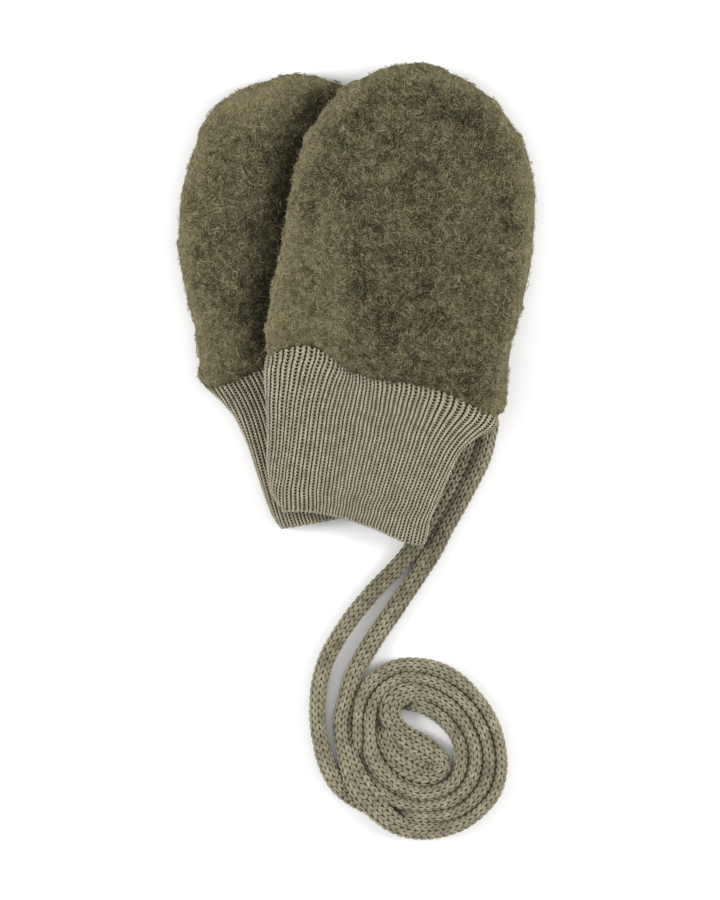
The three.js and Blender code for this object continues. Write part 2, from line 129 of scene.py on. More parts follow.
def ring_faces(rings, sides, closed):
    """Four-sided faces between rings of points, and back from the last to the first if closed."""
    ring = np.arange(rings if closed else rings - 1)[:, None]
    here = np.arange(sides)
    near, far, beside = ring * sides, (ring + 1) % rings * sides, (here + 1) % sides
    faces = np.stack([near + here, far + here, far + beside, near + beside], axis=-1)
    return faces.reshape(-1, 4)


def face_outward(obj, fill_ends=False, split=False):
    """Turns a mesh's faces outward. Open ends can be filled first, and faces split after."""
    select_only(obj)
    bpy.ops.object.mode_set(mode="EDIT")
    if fill_ends:
        bpy.ops.mesh.select_all(action="DESELECT")
        bpy.ops.mesh.select_non_manifold()
        bpy.ops.mesh.edge_face_add()
    bpy.ops.mesh.select_all(action="SELECT")
    bpy.ops.mesh.normals_make_consistent(inside=False)
    if split:
        bpy.ops.mesh.quads_convert_to_tris()
    bpy.ops.object.mode_set(mode="OBJECT")


def read_points(mesh, what):
    """The places or the normals of a mesh's points, as rows of three numbers."""
    values = np.empty(len(mesh.vertices) * 3, np.float32)
    mesh.vertices.foreach_get(what, values)
    return values.reshape(-1, 3)


def point_values(obj, name, values):
    """Stores one number for each point of a mesh, for its material to read."""
    attribute = obj.data.attributes.new(name, "FLOAT", "POINT")
    attribute.data.foreach_set("value", np.asarray(values, np.float32))


def triangles_of(obj):
    """How many triangles an object shows."""
    obj.data.calc_loop_triangles()
    return len(obj.data.loop_triangles)


# %% Helpers for lines and for soft changes
def smooth_line(rows, steps=16):
    """A smooth line through rows of numbers, divided finely between each two rows."""
    rows = np.array(rows, float)
    rows = np.vstack([rows[:1], rows, rows[-1:]])
    before, start, end, after = rows[:-3], rows[1:-2], rows[2:-1], rows[3:]
    share = np.linspace(0, 1, steps, endpoint=False)[None, :, None]
    leave = (end - before)[:, None] / 2
    arrive = (after - start)[:, None] / 2
    start, end = start[:, None], end[:, None]
    fine = ((2 * start - 2 * end + leave + arrive) * share ** 3
            + (3 * end - 3 * start - 2 * leave - arrive) * share ** 2
            + leave * share + start)
    return np.vstack([fine.reshape(-1, rows.shape[1]), rows[-1:]])


def lengths_along(line):
    """How far along a line each of its points is."""
    steps = np.linalg.norm(np.diff(line, axis=0), axis=1)
    return np.concatenate([[0], np.cumsum(steps)])


def read_line(line, at, places):
    """The line's columns at some places, measured as the line's own distances in at."""
    return np.stack([np.interp(places, at, line[:, k]) for k in range(line.shape[1])], axis=-1)


def smooth_share(value):
    """A share from 0 to 1 that starts and ends softly."""
    value = np.clip(value, 0, 1)
    return value * value * (3 - 2 * value)


def fade(distance, reach):
    """A share that is 1 at a place and dies away softly within its reach."""
    return np.exp(-(distance / reach) ** 2)


def fade_round(x, y, at_x, at_y, reach):
    """The same round one place, from x and y."""
    return np.exp(-((x - at_x) ** 2 + (y - at_y) ** 2) / reach ** 2)

# %% [markdown]
# ## The knitted cord
# On the real pair this is one soft tube, knitted round with a few needles, sewn in at each wrist
# seam and wound up for the picture. A bevelled curve would give a smooth rope, but this cord is
# squeezed flat where it lies free and squeezed tall where its turns press on each other, so its
# mesh is laid ring by ring along one line, with a width and a rise of its own at each place.

# %% Route of the cord
COIL_CENTRE = (20.9, -146.0)
COIL_STEP = 15
RING_STEP = 0.8

# Each row is x, y, the cord's width and the height of its underside, in millimetres.
# The last number is left out where the cord lies on the surface.
FRONT_LEAD = [
    (43.2, -33.5, 5), (44.2, -39.5, 5.2), (43.2, -43.5, 5.6), (42.2, -47.8, 5.8),
    (40.9, -51.8, 5.8), (38.6, -56.6, 5.8), (35.7, -62, 5.8), (32.2, -68.4, 5.8),
    (28.7, -74.4, 5.9), (25.6, -80.6, 6.1), (21.2, -87.6, 6), (16.8, -94.2, 6),
    (11.3, -102.3, 6.2), (7.8, -107.3, 6.2), (4.2, -112.9, 6.2), (-0.8, -121.9, 5.9),
    (-2.8, -129.4, 6.2), (-4.5, -136.8, 6.3), (-4.1, -143, 6.4, 0.2),
]
BACK_LEAD = [
    (30.4, -10.6, 5), (34.8, -17.5, 5), (37.8, -27, 5.4), (38.8, -36.5, 6.4), (37.8, -44, 7.2),
    (35.6, -50.8, 7.4), (32.9, -56.4, 7.2), (29.8, -61.8, 6.8), (26.2, -67.7, 6.4),
    (22.4, -73.9, 6.3), (18.5, -80.6, 5.9), (12.9, -87.1, 5.4), (6.1, -94.1, 5.4),
    (-0.7, -102.3, 5.4), (-5.1, -108.6, 5.4), (-8.8, -115, 5.4), (-10.9, -120.2, 5.4),
    (-12.2, -126, 5.4), (-12.7, -132, 5.3), (-12.6, -138, 5.3), (-11.8, -143.5, 5.3),
]

# The same in the coil, but with an angle and the radius in pixels in place of x and y
FRONT_TURNS = [
    (180, 74, 6.5, 0.6), (190, 72.2, 7.1, 1.3), (200, 71, 8, 2.4), (210, 71.3, 8.2, 3.1),
    (220, 71.8, 8.2, 3.3), (230, 73.5, 8.2, 3.3), (240, 76, 7.4, 3.2), (255, 80.8, 6.2, 2.2),
    (270, 82.9, 5.9, 1), (285, 84.7, 5.1, 0.3), (300, 86.9, 4.3), (315, 87.3, 4.1),
    (330, 87.5, 4), (345, 84.2, 3.9), (360, 80.3, 3.7), (375, 77.8, 3.7), (390, 76.2, 3.7),
    (405, 76, 3.9), (420, 77.7, 4.5), (435, 79.9, 5), (450, 82.3, 4.8), (465, 84.4, 4.7),
    (480, 82.8, 4.9), (490, 80.1, 4.6), (500, 75.8, 3.9), (510, 70.6, 3.4), (520, 65.8, 3.4),
    (530, 63, 3.4), (540, 61.5, 3.4), (550, 60.3, 3.5), (565, 59, 3.8), (585, 58.3, 4),
    (600, 59, 4), (615, 59.1, 3.9), (630, 59.3, 3.6), (645, 60, 3.7), (660, 61.6, 4.4),
    (675, 62, 4.4), (690, 60.7, 4.4), (705, 57.8, 4.7), (720, 55.2, 4.3), (735, 52.4, 4.4),
    (750, 50.9, 4.6), (765, 51, 4.8), (780, 52, 5.1), (795, 53.7, 5.2), (810, 56.6, 6, 0.6),
]
BACK_TURNS = [
    (188.5, 95.4, 5.5), (200, 91.5, 6), (213, 85.2, 6), (226, 78, 6), (240, 72.5, 5.6),
    (255, 69, 4.4), (270, 69.3, 3.4), (285, 71.2, 3.8), (300, 74.3, 3.9), (315, 74.9, 4.1),
    (330, 74.5, 4.6), (345, 71.8, 4.4), (360, 68.3, 4.4), (375, 65.7, 4.3), (390, 64.4, 4.2),
    (405, 64.3, 3.9), (420, 65.3, 3.6), (435, 66.9, 3.5), (450, 69.5, 3.5), (465, 72.3, 3.3),
    (480, 70.2, 3.4), (490, 67, 4.2), (500, 63.3, 4.8), (510, 59.7, 4.3), (520, 54.8, 4),
    (530, 52, 4.1), (540, 50.1, 4.5), (550, 49, 4.9), (560, 47.9, 5.2), (570, 46.9, 5.2),
    (585, 46, 5.2), (600, 45.7, 4.8), (615, 45.9, 4.7), (630, 46.9, 4.7), (645, 47.3, 4.7),
    (660, 48, 4.5), (675, 48.2, 4.6), (690, 45.9, 5), (705, 43.2, 4.8), (720, 41, 5),
    (735, 38.9, 4.5), (750, 36.9, 4.5), (765, 36.4, 4.7), (780, 37, 4.7), (795, 38.5, 4.7),
    (810, 41.4, 4.2),
]
# The middle of the cord, which is folded into a hairpin inside the coil
HAIRPIN = [
    (15.8, -128.2, 7.2, 2), (12.4, -129.9, 7.4, 3.2), (11, -132.5, 7.4, 3),
    (11, -135.8, 7.2, 1.4), (12.6, -139, 6.8, 0.3), (15, -141.5, 7), (17.9, -143.7, 8),
    (20.9, -145.3, 8), (23.9, -147.1, 7.4), (26.6, -149.1, 6.2), (28.5, -151.1, 4.8, 0.3),
    (28.5, -152.9, 4.6, 0.9), (26.5, -154.4, 5.8, 0.7), (23.2, -155, 8, 0.2), (19.4, -154.1, 9.5),
    (15.8, -152.2, 9.8), (12.3, -149.7, 8.2), (10.3, -146.7, 7.3), (8.9, -143.9, 6.3),
    (8.1, -141, 5.4), (7.5, -138.1, 4.6), (7.6, -135, 4.8), (9.1, -132.5, 5), (12, -131.2, 5),
    (15.3, -131, 4.8), (18.3, -131.8, 4.4),
]


def rows_of(table):
    """The rows of a table as an array, with 0 for a last number that is left out."""
    return np.array([row + (0,) * (4 - len(row)) for row in table], float)


def on_coil(turns):
    """Rows of a turn table as places on the surface, evenly spaced in angle."""
    smooth = smooth_line(rows_of(turns))
    count = round((turns[-1][0] - turns[0][0]) / COIL_STEP)
    angles = np.linspace(turns[0][0], turns[-1][0], count + 1)
    radius, width, under = (np.interp(angles, smooth[:, 0], smooth[:, k]) for k in (1, 2, 3))
    turned = np.radians(angles)
    x = COIL_CENTRE[0] + radius * PIXEL * np.cos(turned)
    y = COIL_CENTRE[1] + radius * PIXEL * np.sin(turned)
    return np.stack([x, y, width, under], axis=1)


route = np.vstack([rows_of(FRONT_LEAD), on_coil(FRONT_TURNS), rows_of(HAIRPIN),
                   on_coil(BACK_TURNS)[::-1], rows_of(BACK_LEAD)[::-1]])
fine = smooth_line(route)
flat_at = lengths_along(fine[:, :2])
places = np.linspace(0, flat_at[-1], round(flat_at[-1] / RING_STEP))
fine = read_line(fine, flat_at, places)
print("points on the cord's route:", len(route))

# %% How wide and how tall the cord is
CORD_GIRTH = 10.6
CORD_TALLEST, CORD_FLATTEST, CORD_PRESSED = 6.2, 3.2, 2.3
LEAD_TOP, LEAD_END, LEAD_BLEND = 4.6, -128, 18
STEP_OVER, CROSSING_SLOPE, SAME_STRAND = 0.9, 6, 14


def softened(values, reach):
    """Evens out small steps in a row of values over a few neighbours."""
    window = np.hanning(reach + 2)[1:-1]
    padded = np.pad(values, reach // 2, mode="edge")
    return np.convolve(padded, window / window.sum(), mode="valid")


cord_width = softened(fine[:, 2], 9)
cord_under = softened(fine[:, 3], 9)
cord_height = np.clip(CORD_GIRTH - cord_width, CORD_FLATTEST, CORD_TALLEST)
lead_share = np.clip((fine[:, 1] - LEAD_END) / LEAD_BLEND, 0, 1)
cord_height = cord_height * (1 - lead_share) + np.minimum(cord_height, LEAD_TOP) * lead_share

# Where one part of the cord passes over another, the lower one is pressed flat
apart = np.linalg.norm(fine[:, None, :2] - fine[None, :, :2], axis=2)
overlap = (cord_width[:, None] + cord_width[None, :]) / 2 - apart
crossed = np.clip(overlap / 2, 0, 1) * (cord_under[None, :] > cord_under[:, None] + STEP_OVER)
crossed[np.abs(places[:, None] - places[None, :]) < SAME_STRAND] = 0
room = cord_under[None, :] - cord_under[:, None] + (1 - crossed) * CROSSING_SLOPE
room = np.where(crossed > 0, room, np.inf).min(1)
cord_height = softened(np.minimum(cord_height, np.maximum(room, CORD_PRESSED)), 7)
print("most pressed part of the cord:", round(cord_height.min(), 1), "mm tall")

# %% Rings of the cord
YARN_LIFT = 0.2
CORD_SIDES = 14
cord_line = np.column_stack([fine[:, 0], fine[:, 1], cord_under + cord_height / 2])
cord_at = lengths_along(cord_line)
CORD_LENGTH = cord_at[-1]
ahead = np.gradient(cord_line, axis=0)
ahead /= np.linalg.norm(ahead, axis=1)[:, None]
aside = np.column_stack([ahead[:, 1], -ahead[:, 0], np.zeros(len(ahead))])
aside /= np.linalg.norm(aside, axis=1)[:, None]
upward = np.cross(aside, ahead)
cord_table = np.column_stack([cord_line, aside, upward, cord_width / 2 - YARN_LIFT,
                              cord_height / 2 - YARN_LIFT])
print("length of the cord along its middle:", round(CORD_LENGTH), "mm")


def on_cord(along, turned, out):
    """Places on the cord: distance along it, even steps round it and height off it."""
    row = read_line(cord_table, cord_at, along)
    middle, side, up = row[..., 0:3], row[..., 3:6], row[..., 6:9]
    wide, tall = row[..., 9:10], row[..., 10:11]
    uneven = (wide ** 2 - tall ** 2) / (wide ** 2 + tall ** 2)
    turned = turned[..., None] + uneven / 4 * np.sin(2 * turned[..., None])
    across, rise = np.cos(turned), np.sin(turned)
    slope = side * across / wide + up * rise / tall
    slope /= np.linalg.norm(slope, axis=-1, keepdims=True)
    return middle + side * across * wide + up * rise * tall + slope * out[..., None]


ring_angle = np.linspace(0, 2 * np.pi, CORD_SIDES, endpoint=False)
grid_along, grid_turned = np.meshgrid(cord_at, ring_angle, indexing="ij")
rings = on_cord(grid_along, grid_turned, np.zeros_like(grid_along)).reshape(-1, 3)
cord_core = mesh_object("cord_core", rings * MM, ring_faces(len(cord_at), CORD_SIDES, False))
face_outward(cord_core, fill_ends=True)
print("core of the cord:", triangles_of(cord_core), "triangles")

# %% [markdown]
# ## One stitch
# A knitted stitch shows as a V, two legs of yarn that lean together at their foot. One leg is
# pulled out of a small ring of four or five sides, swelling and leaning as it goes, and its
# mirror image makes the other. That V is modelled once, and its points are then carried to every
# stitch's own place on the cloth, which costs far less than shaping each one. Each leg gets a
# tone of its own, as spun wool has, and the way along its yarn, for the twist in its material.

# %% A leg of yarn, pulled ring by ring
def yarn_leg(name, sides, rings):
    """One leg of a stitch. Each ring is its middle x, y, z and its half width and half height."""
    x, y, z, wide, tall = rings[0]
    bpy.ops.object.select_all(action="DESELECT")
    bpy.ops.mesh.primitive_circle_add(vertices=sides, radius=1, fill_type="NGON",
                                      location=(x, y, z), rotation=(math.pi / 2, 0, 0))
    leg = bpy.context.object
    leg.name = name
    bpy.ops.object.transform_apply(location=True, rotation=True, scale=True)
    bpy.ops.object.mode_set(mode="EDIT")
    bpy.ops.mesh.select_all(action="SELECT")
    bpy.ops.transform.resize(value=(wide, 1, tall), center_override=(x, y, z))
    for x2, y2, z2, wide2, tall2 in rings[1:]:
        bpy.ops.mesh.extrude_region_move(
            TRANSFORM_OT_translate={"value": (x2 - x, y2 - y, z2 - z)})
        bpy.ops.transform.resize(value=(wide2 / wide, 1, tall2 / tall),
                                 center_override=(x2, y2, z2))
        x, y, z, wide, tall = x2, y2, z2, wide2, tall2
    bpy.ops.object.mode_set(mode="OBJECT")
    return leg


def stitch(name, sides, rings):
    """A whole stitch, one leg and its mirror image, as points and triangles."""
    leg = yarn_leg(name, sides, rings)
    mirror = leg.modifiers.new("other leg", "MIRROR")
    mirror.use_axis = (True, False, False)
    mirror.use_mirror_merge = False
    bpy.ops.object.modifier_apply(modifier=mirror.name)
    face_outward(leg, split=True)
    points = np.array([v.co for v in leg.data.vertices])
    faces = np.array([p.vertices for p in leg.data.polygons])
    bpy.data.objects.remove(leg)
    print(name, "has", len(points), "points and", len(faces), "triangles")
    return points, faces


def knitted(name, shape, columns, courses, place, seed, paler=0):
    """Copies a stitch to each column and course, and lets place carry its points."""
    points, faces = shape
    count = len(columns)
    x, y, z = (np.broadcast_to(points[:, k], (count, len(points))) for k in range(3))
    laid = place(columns[:, None], courses[:, None], x, y, z).reshape(-1, 3)
    each = np.arange(count)[:, None, None] * len(points)
    cloth = mesh_object(name, laid * MM, (faces[None] + each).reshape(-1, 3))
    leg = (points[:, 0] > 0).astype(int)
    tones = np.random.default_rng(seed).random((count, 2))
    # paler shifts each stitch's tone; on the cord it carries painted shade
    point_values(cloth, "tone", (tones + np.reshape(paler, (-1, 1)))[:, leg].ravel())
    point_values(cloth, "ply", (y + 0.35 * np.abs(x)).ravel())
    print(name, "has", count, "stitches and", triangles_of(cloth), "triangles")
    return cloth

# %% [markdown]
# ## The cord's stitches
# Seven columns of stitches run along the cord and wander a little round it, as they do on a cord
# that was wound up by hand. Just below the cuff the two leads lie in shade, and that shade is
# painted: the stitches there carry a darker tone than the rest of the cord.

# %% Stitches of the cord
CORD_COLUMNS, CORD_COURSE = 7, 2.35
# Rings of one leg: x, y, z, half width and half height
CORD_LEG = [
    (0.17, -1.62, -0.3, 0.3, 0.2), (0.48, -0.72, 0.04, 0.56, 0.36),
    (0.84, 0.45, 0.05, 0.6, 0.36), (1.12, 1.52, -0.26, 0.4, 0.2),
]
# How far the columns wander round the cord, over what length, and from what start
WANDER = [(0.16, 31, 0), (0.1, 12.7, 1)]
# Painted shade on the two leads below the cuff: where it is darkest, its reach and how much darker
PAINTED_LEAD_SHADE_Y, PAINTED_LEAD_SHADE_REACH, PAINTED_LEAD_SHADE = -84, 20, 1.1

cord_stitch = stitch("cord_stitch", 5, CORD_LEG)
course_count = int(CORD_LENGTH / CORD_COURSE)
column, course = np.meshgrid(np.arange(CORD_COLUMNS), np.arange(course_count), indexing="ij")
column, course = column.ravel().astype(float), course.ravel().astype(float)


def place_on_cord(column, course, x, y, z):
    """Carries a stitch's points to its column and course on the cord."""
    along = np.clip((course + 0.5) * CORD_COURSE - y, 0, CORD_LENGTH)
    wander = sum(turn * np.sin(along / length + start) for turn, length, start in WANDER)
    turned = np.pi / 2 + column * 2 * np.pi / CORD_COLUMNS + wander + x / (CORD_GIRTH / 4)
    return on_cord(along, turned, z)


# Painted shade: the leads' stitches get a darker tone near the cuff
stitch_y = np.interp((course + 0.5) * CORD_COURSE, cord_at, cord_line[:, 1])
lead_shade = -PAINTED_LEAD_SHADE * fade(stitch_y - PAINTED_LEAD_SHADE_Y, PAINTED_LEAD_SHADE_REACH)
cord_stitches = knitted("cord_stitches", cord_stitch, column, course, place_on_cord, 3,
                        lead_shade)


for piece in (cord_core, cord_stitches):
    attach(piece, "root")
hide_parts("cord_lead_front", "cord_lead_back", "cord_coil")

# %% [markdown]
# ## How the front mitten drapes
# The front mitten lies over the back one and over the cord. The solids were shaped by one soft
# height over the surface, and the knitted stitches of its cuff have to follow the same height.
# So the outlines of what lies beneath are given again here, and the height is worked out once on
# a grid of one millimetre, from which every stitch then reads its own.

# %% Outlines of what lies beneath
BACK_HAND = [
    (-49.0, -27.7), (-51.3, -22.6), (-52.9, -12.1), (-55.5, 1.0), (-57.7, 13.4), (-58.4, 25.3),
    (-57.5, 37.1), (-54.7, 46.9), (-50.9, 56.7), (-45.7, 64.0), (-38.8, 69.4), (-30.9, 72.8),
    (-20.8, 74.9), (-11.9, 74.0), (-3.4, 71.2), (7.8, 65.3), (16.0, 56.7), (22.2, 45.3),
    (25.5, 33.8), (26.9, 20.7), (27.4, 5.9), (28.8, -5.6), (27.5, -10.8), (8, -13.5),
    (-11, -17.5), (-30, -21.5), (-49.0, -27.7),
]
CUFFS = {
    "front": {
        "left": [(-29.1, -17.0), (-30.0, -23.0), (-29.4, -33.8), (-29.0, -44.9), (-29.2, -52.8),
                 (-28.4, -58.4), (-26.7, -64.3), (-23.7, -67.9)],
        "right": [(46.1, -37.4), (45.6, -39.9), (43.9, -41.7), (41.2, -43.1), (37.6, -45.3),
                  (34.3, -48.5), (32.0, -52.5), (29.7, -57.7), (27.8, -62.6), (25.5, -67.6),
                  (23.8, -71.8), (23.2, -76.0), (22.0, -79.3)],
        "seam": [(0, 0), (0.1, 4.3), (0.16, 6.2), (0.23, 6.3), (0.29, 4.6), (0.36, 2.4),
                 (0.45, 1.8), (0.54, 2.7), (0.65, 3.5), (0.75, 3.8), (0.84, 2.5), (1, 0)],
        "hem": [(0, 0), (0.15, 1.7), (0.3, 2.6), (0.45, 2.6), (0.65, 1.6), (0.8, 0),
                (0.9, -0.6), (1, 0)],
        "pitch": 2.43,
    },
    "back": {
        "left": [(-48.7, -28.1), (-43.3, -33.2), (-39.2, -38.6), (-35.4, -47.1), (-31.9, -57.6),
                 (-28.7, -67), (-26.4, -71.6), (-24.4, -73.8)],
        "right": [(27.4, -11.2), (27.5, -16.1), (26.8, -25.3), (26.1, -35.1), (25.5, -44.9),
                  (24.8, -54.8), (23.5, -62.0)],
        "seam": [(0, 0), (0.12, 0.8), (0.25, 3), (0.5, 3), (0.75, 2), (1, 0)],
        "hem": [(0, 0), (0.25, -1), (0.6, -1.5), (1, 0)],
        "pitch": 2.3,
    },
}

# %% The height of the front mitten
HAND_TOP, CUFF_TOP = 8.4, 5.7
CLEARANCE, FALL, SHARPNESS = 0.5, 28, 8
CLOTH_SHOULDER, LEAD_SHOULDER = 2, 6.5


def away_from(line, x, y):
    """The distance of each point to a line of points."""
    a, b = line[:-1], line[1:]
    step = b - a
    px, py = x[..., None] - a[:, 0], y[..., None] - a[:, 1]
    share = np.clip((px * step[:, 0] + py * step[:, 1]) / (step ** 2).sum(1), 0, 1)
    return np.hypot(px - share * step[:, 0], py - share * step[:, 1]).min(-1)


def covered_by(ring, x, y):
    """Whether each point lies inside a closed line."""
    a, b = ring[:-1], ring[1:]
    level = y[..., None]
    crosses = (a[:, 1] > level) != (b[:, 1] > level)
    rise = np.where(b[:, 1] == a[:, 1], 1, b[:, 1] - a[:, 1])
    at = a[:, 0] + (level - a[:, 1]) / rise * (b[:, 0] - a[:, 0])
    return (crosses & (x[..., None] < at)).sum(-1) % 2 == 1


grid_x, grid_y = np.arange(-64, 65.0), np.arange(-90, 85.0)
mesh_x, mesh_y = np.meshgrid(grid_x, grid_y, indexing="ij")
back_cuff_ring = np.vstack([smooth_line(CUFFS["back"]["left"], 4),
                            smooth_line(CUFFS["back"]["right"], 4)[::-1],
                            [CUFFS["back"]["left"][0]]])
beneath = [(np.array(BACK_HAND), True, HAND_TOP, CLOTH_SHOULDER),
           (back_cuff_ring, True, CUFF_TOP, CLOTH_SHOULDER),
           (rows_of(FRONT_LEAD)[:, :2], False, LEAD_TOP, LEAD_SHOULDER),
           (rows_of(BACK_LEAD)[:, :2], False, LEAD_TOP, LEAD_SHOULDER)]
drape_grid = np.zeros_like(mesh_x)
for line, closed, top, shoulder in beneath:
    away = away_from(line, mesh_x, mesh_y)
    if closed:
        away = np.where(covered_by(line, mesh_x, mesh_y), 0, away)
    share = 1 - smooth_share((away - shoulder) / FALL)
    drape_grid += ((top + CLEARANCE) * share) ** SHARPNESS
drape_grid **= 1 / SHARPNESS


def drape(x, y):
    """The height of the front mitten's underside, read from the grid."""
    fx = np.clip(x - grid_x[0], 0, len(grid_x) - 1.001)
    fy = np.clip(y - grid_y[0], 0, len(grid_y) - 1.001)
    ix, iy = fx.astype(int), fy.astype(int)
    sx, sy = fx - ix, fy - iy
    low = drape_grid[ix, iy] * (1 - sx) + drape_grid[ix + 1, iy] * sx
    high = drape_grid[ix, iy + 1] * (1 - sx) + drape_grid[ix + 1, iy + 1] * sx
    return low * (1 - sy) + high * sy


print("the front mitten is lifted by up to", round(drape_grid.max(), 1), "mm")

# %% [markdown]
# ## The rib cuffs
# Each cuff is a tube of fine rib, doubled at the hem and pressed flat. Its ribs are columns of
# stitches with a dark furrow between each two. A bump texture would look painted on at the hem and
# at the sides, where the ribs turn under, so the stitches are modelled. Under them lies a closed
# band, which is the cloth that shows through the holes; its dark colour is painted shade, for the
# shade in the holes and furrows.

# %% The cuff's surface
CUFF_HALF, CUFF_WALL = 2.6, 1.1
RIBS_SEEN, RIBS_ROUND = 27, 52


def wave(rows):
    """A function that reads a smooth line through rows of share and height."""
    smooth = smooth_line(rows)
    return lambda share: np.interp(share, smooth[:, 0], smooth[:, 1])


def cuff_surface(kind, lift):
    """A function that carries rib, course and height to a place on one cuff."""
    cuff = CUFFS[kind]
    left, right = smooth_line(cuff["left"]), smooth_line(cuff["right"])
    left_at, right_at = lengths_along(left), lengths_along(right)
    long = (left_at[-1] + right_at[-1]) / 2
    seam, hem = wave(cuff["seam"]), wave(cuff["hem"])
    wrist_pitch = np.linalg.norm(right[0] - left[0]) / RIBS_SEEN

    def place(rib, down, out):
        """rib counts from the middle of the top, down is from the wrist, out is off the cloth."""
        turn = np.maximum(down - (long - CUFF_WALL), 0) / CUFF_WALL
        along = np.minimum(down, long - CUFF_WALL) / long
        start = read_line(left, left_at, along * left_at[-1])
        end = read_line(right, right_at, along * right_at[-1])
        middle, across = (start + end) / 2, end - start
        half = np.linalg.norm(across, axis=-1)
        across, half = across / half[..., None], half / 2
        pitch = wrist_pitch + (cuff["pitch"] - wrist_pitch) * along
        level = half - CUFF_HALF
        girth = 4 * level + 2 * np.pi * CUFF_HALF
        seen = RIBS_SEEN / 2
        under_pitch = (girth / 2 - seen * pitch) / (RIBS_ROUND / 2 - seen)
        count = np.abs(rib)
        walk = np.minimum(count, seen) * pitch + np.maximum(count - seen, 0) * under_pitch
        bend = np.clip((walk - level) / CUFF_HALF, 0, np.pi)
        past = np.maximum(walk - level - np.pi * CUFF_HALF, 0)
        side = np.where(rib < 0, -1, 1)
        flat_x = side * (np.minimum(walk, level) + CUFF_HALF * np.sin(bend) - past)
        share = 0.5 + flat_x / (2 * half)
        x = middle[..., 0] + across[..., 0] * flat_x
        y = (middle[..., 1] + across[..., 1] * flat_x + seam(share) * (1 - along) ** 2
             + hem(share) * along ** 2)
        z = lift(x, y) + CUFF_HALF + CUFF_HALF * np.cos(bend)
        normal = np.stack([across[..., 0] * side * np.sin(bend),
                           across[..., 1] * side * np.sin(bend), np.cos(bend)], axis=-1)
        downward = np.stack([across[..., 1], -across[..., 0], 0 * half], axis=-1)
        facing = normal * np.cos(turn)[..., None] + downward * np.sin(turn)[..., None]
        edge = np.where(turn > 0, CUFF_WALL, 0)[..., None]
        return (np.stack([x, y, z], axis=-1) - normal * edge
                + facing * (edge + out[..., None]))

    return place, long


surfaces = {"front": cuff_surface("front", drape),
            "back": cuff_surface("back", lambda x, y: np.zeros_like(x))}
for kind, (_, long) in surfaces.items():
    print(kind, "cuff is", round(long, 1), "mm long")


# %% The band under the stitches
BAND_DEPTH, BAND_WALL = 0.3, 1.5
BAND_COLUMNS, BAND_ROWS, FOLD_ROWS = RIBS_ROUND * 2, 22, 4


def cuff_band(kind):
    """A closed band: its outer wall, the turn of the hem, its inner wall and its wrist edge."""
    place, long = surfaces[kind]
    rib = np.linspace(-RIBS_ROUND / 2, RIBS_ROUND / 2, BAND_COLUMNS, endpoint=False)
    down = np.linspace(0, long - CUFF_WALL, BAND_ROWS)
    turn = np.linspace(0, np.pi / 2, FOLD_ROWS + 1)[1:]
    rows = [(at, -BAND_DEPTH) for at in (*down, *(long - CUFF_WALL + CUFF_WALL * turn))]
    rows += [(at, -BAND_DEPTH - BAND_WALL) for at in down[::-1]]
    points = np.vstack([place(rib, np.full_like(rib, at), np.full_like(rib, out))
                        for at, out in rows])
    band = mesh_object(kind + "_cuff_band", points * MM,
                       ring_faces(len(rows), BAND_COLUMNS, True))
    face_outward(band)
    return band


# %% How the front cuff's ribs are pulled aside
# By how many ribs, with a row for each of some ribs and a column for each distance down
PULL_RIBS = [-26, -14, -11, -8, -5, -2, 1, 4, 7, 10, 13, 26]
PULL_DOWN = [0, 5, 11, 20, 30, 39, 46, 50]
PULL = np.array([
    [0, 0, 0, 0, 0, 0, 0, 0], [-1.5, -1.2, -0.5, 0.1, 0.3, 0.2, -0.4, -0.9],
    [-1.3, -1.2, -0.5, 0.1, 0.3, 0.2, -0.4, -0.9], [-0.2, -0.3, -0.1, 0, -0.1, -0.2, -0.7, -1.1],
    [-0.1, -0.3, -0.1, 0.1, 0.1, 0.1, -0.1, -0.5], [-1.1, -0.8, -0.35, 0, 0, 0.1, -0.2, -0.8],
    [-1.6, -1.1, -0.4, 0, -0.15, -0.2, -0.8, -1.4],
    [-1.1, -0.9, -0.35, -0.1, -0.3, -0.55, -1.3, -2],
    [-0.7, -0.5, -0.2, -0.15, -0.55, -0.9, -1.7, -2.4],
    [0.75, 0.6, 0.3, -0.25, -0.75, -1.15, -1.95, -2.5],
    [1.3, 1, 0.5, -0.3, -1, -1.4, -2, -2.4], [0, 0, 0, 0, 0, 0, 0, 0],
])


def pulled(rib, down):
    """How far a rib is pulled aside at some distance from the wrist."""
    columns = np.stack([np.interp(down, PULL_DOWN, row) for row in PULL], axis=-1)
    at = np.clip(np.searchsorted(PULL_RIBS, rib, side="right") - 1, 0, len(PULL_RIBS) - 2)
    low, high = np.array(PULL_RIBS)[at], np.array(PULL_RIBS)[at + 1]
    share = (rib - low) / (high - low)
    return (np.take_along_axis(columns, at[..., None], -1)[..., 0] * (1 - share)
            + np.take_along_axis(columns, at[..., None] + 1, -1)[..., 0] * share)


# %% Stitches of the cuffs
RIB_WIDTH, COURSE = 2.6, 1.03
# The upper ribs show in the picture. Past them lie the plainer ribs of the sides and below
TOP_RIBS = (-14, 15)
FIRST_ROW, PAST_HEM = 0.35, 1.2
RIB_LEG = [
    (0.02, -0.6, -0.12, 0.2, 0.2), (0.46, -0.36, 0.08, 0.34, 0.28), (0.8, 0.1, 0.14, 0.37, 0.3),
    (0.78, 0.74, -0.16, 0.27, 0.2),
]
RIB_LEG_UNDER = [(0.2, -0.65, -0.08, 0.3, 0.25), (0.52, 0, 0.1, 0.36, 0.3),
                 (0.66, 0.62, -0.08, 0.3, 0.25)]
rib_stitch = stitch("rib_stitch", 5, RIB_LEG)
rib_stitch_under = stitch("rib_stitch_under", 4, RIB_LEG_UNDER)


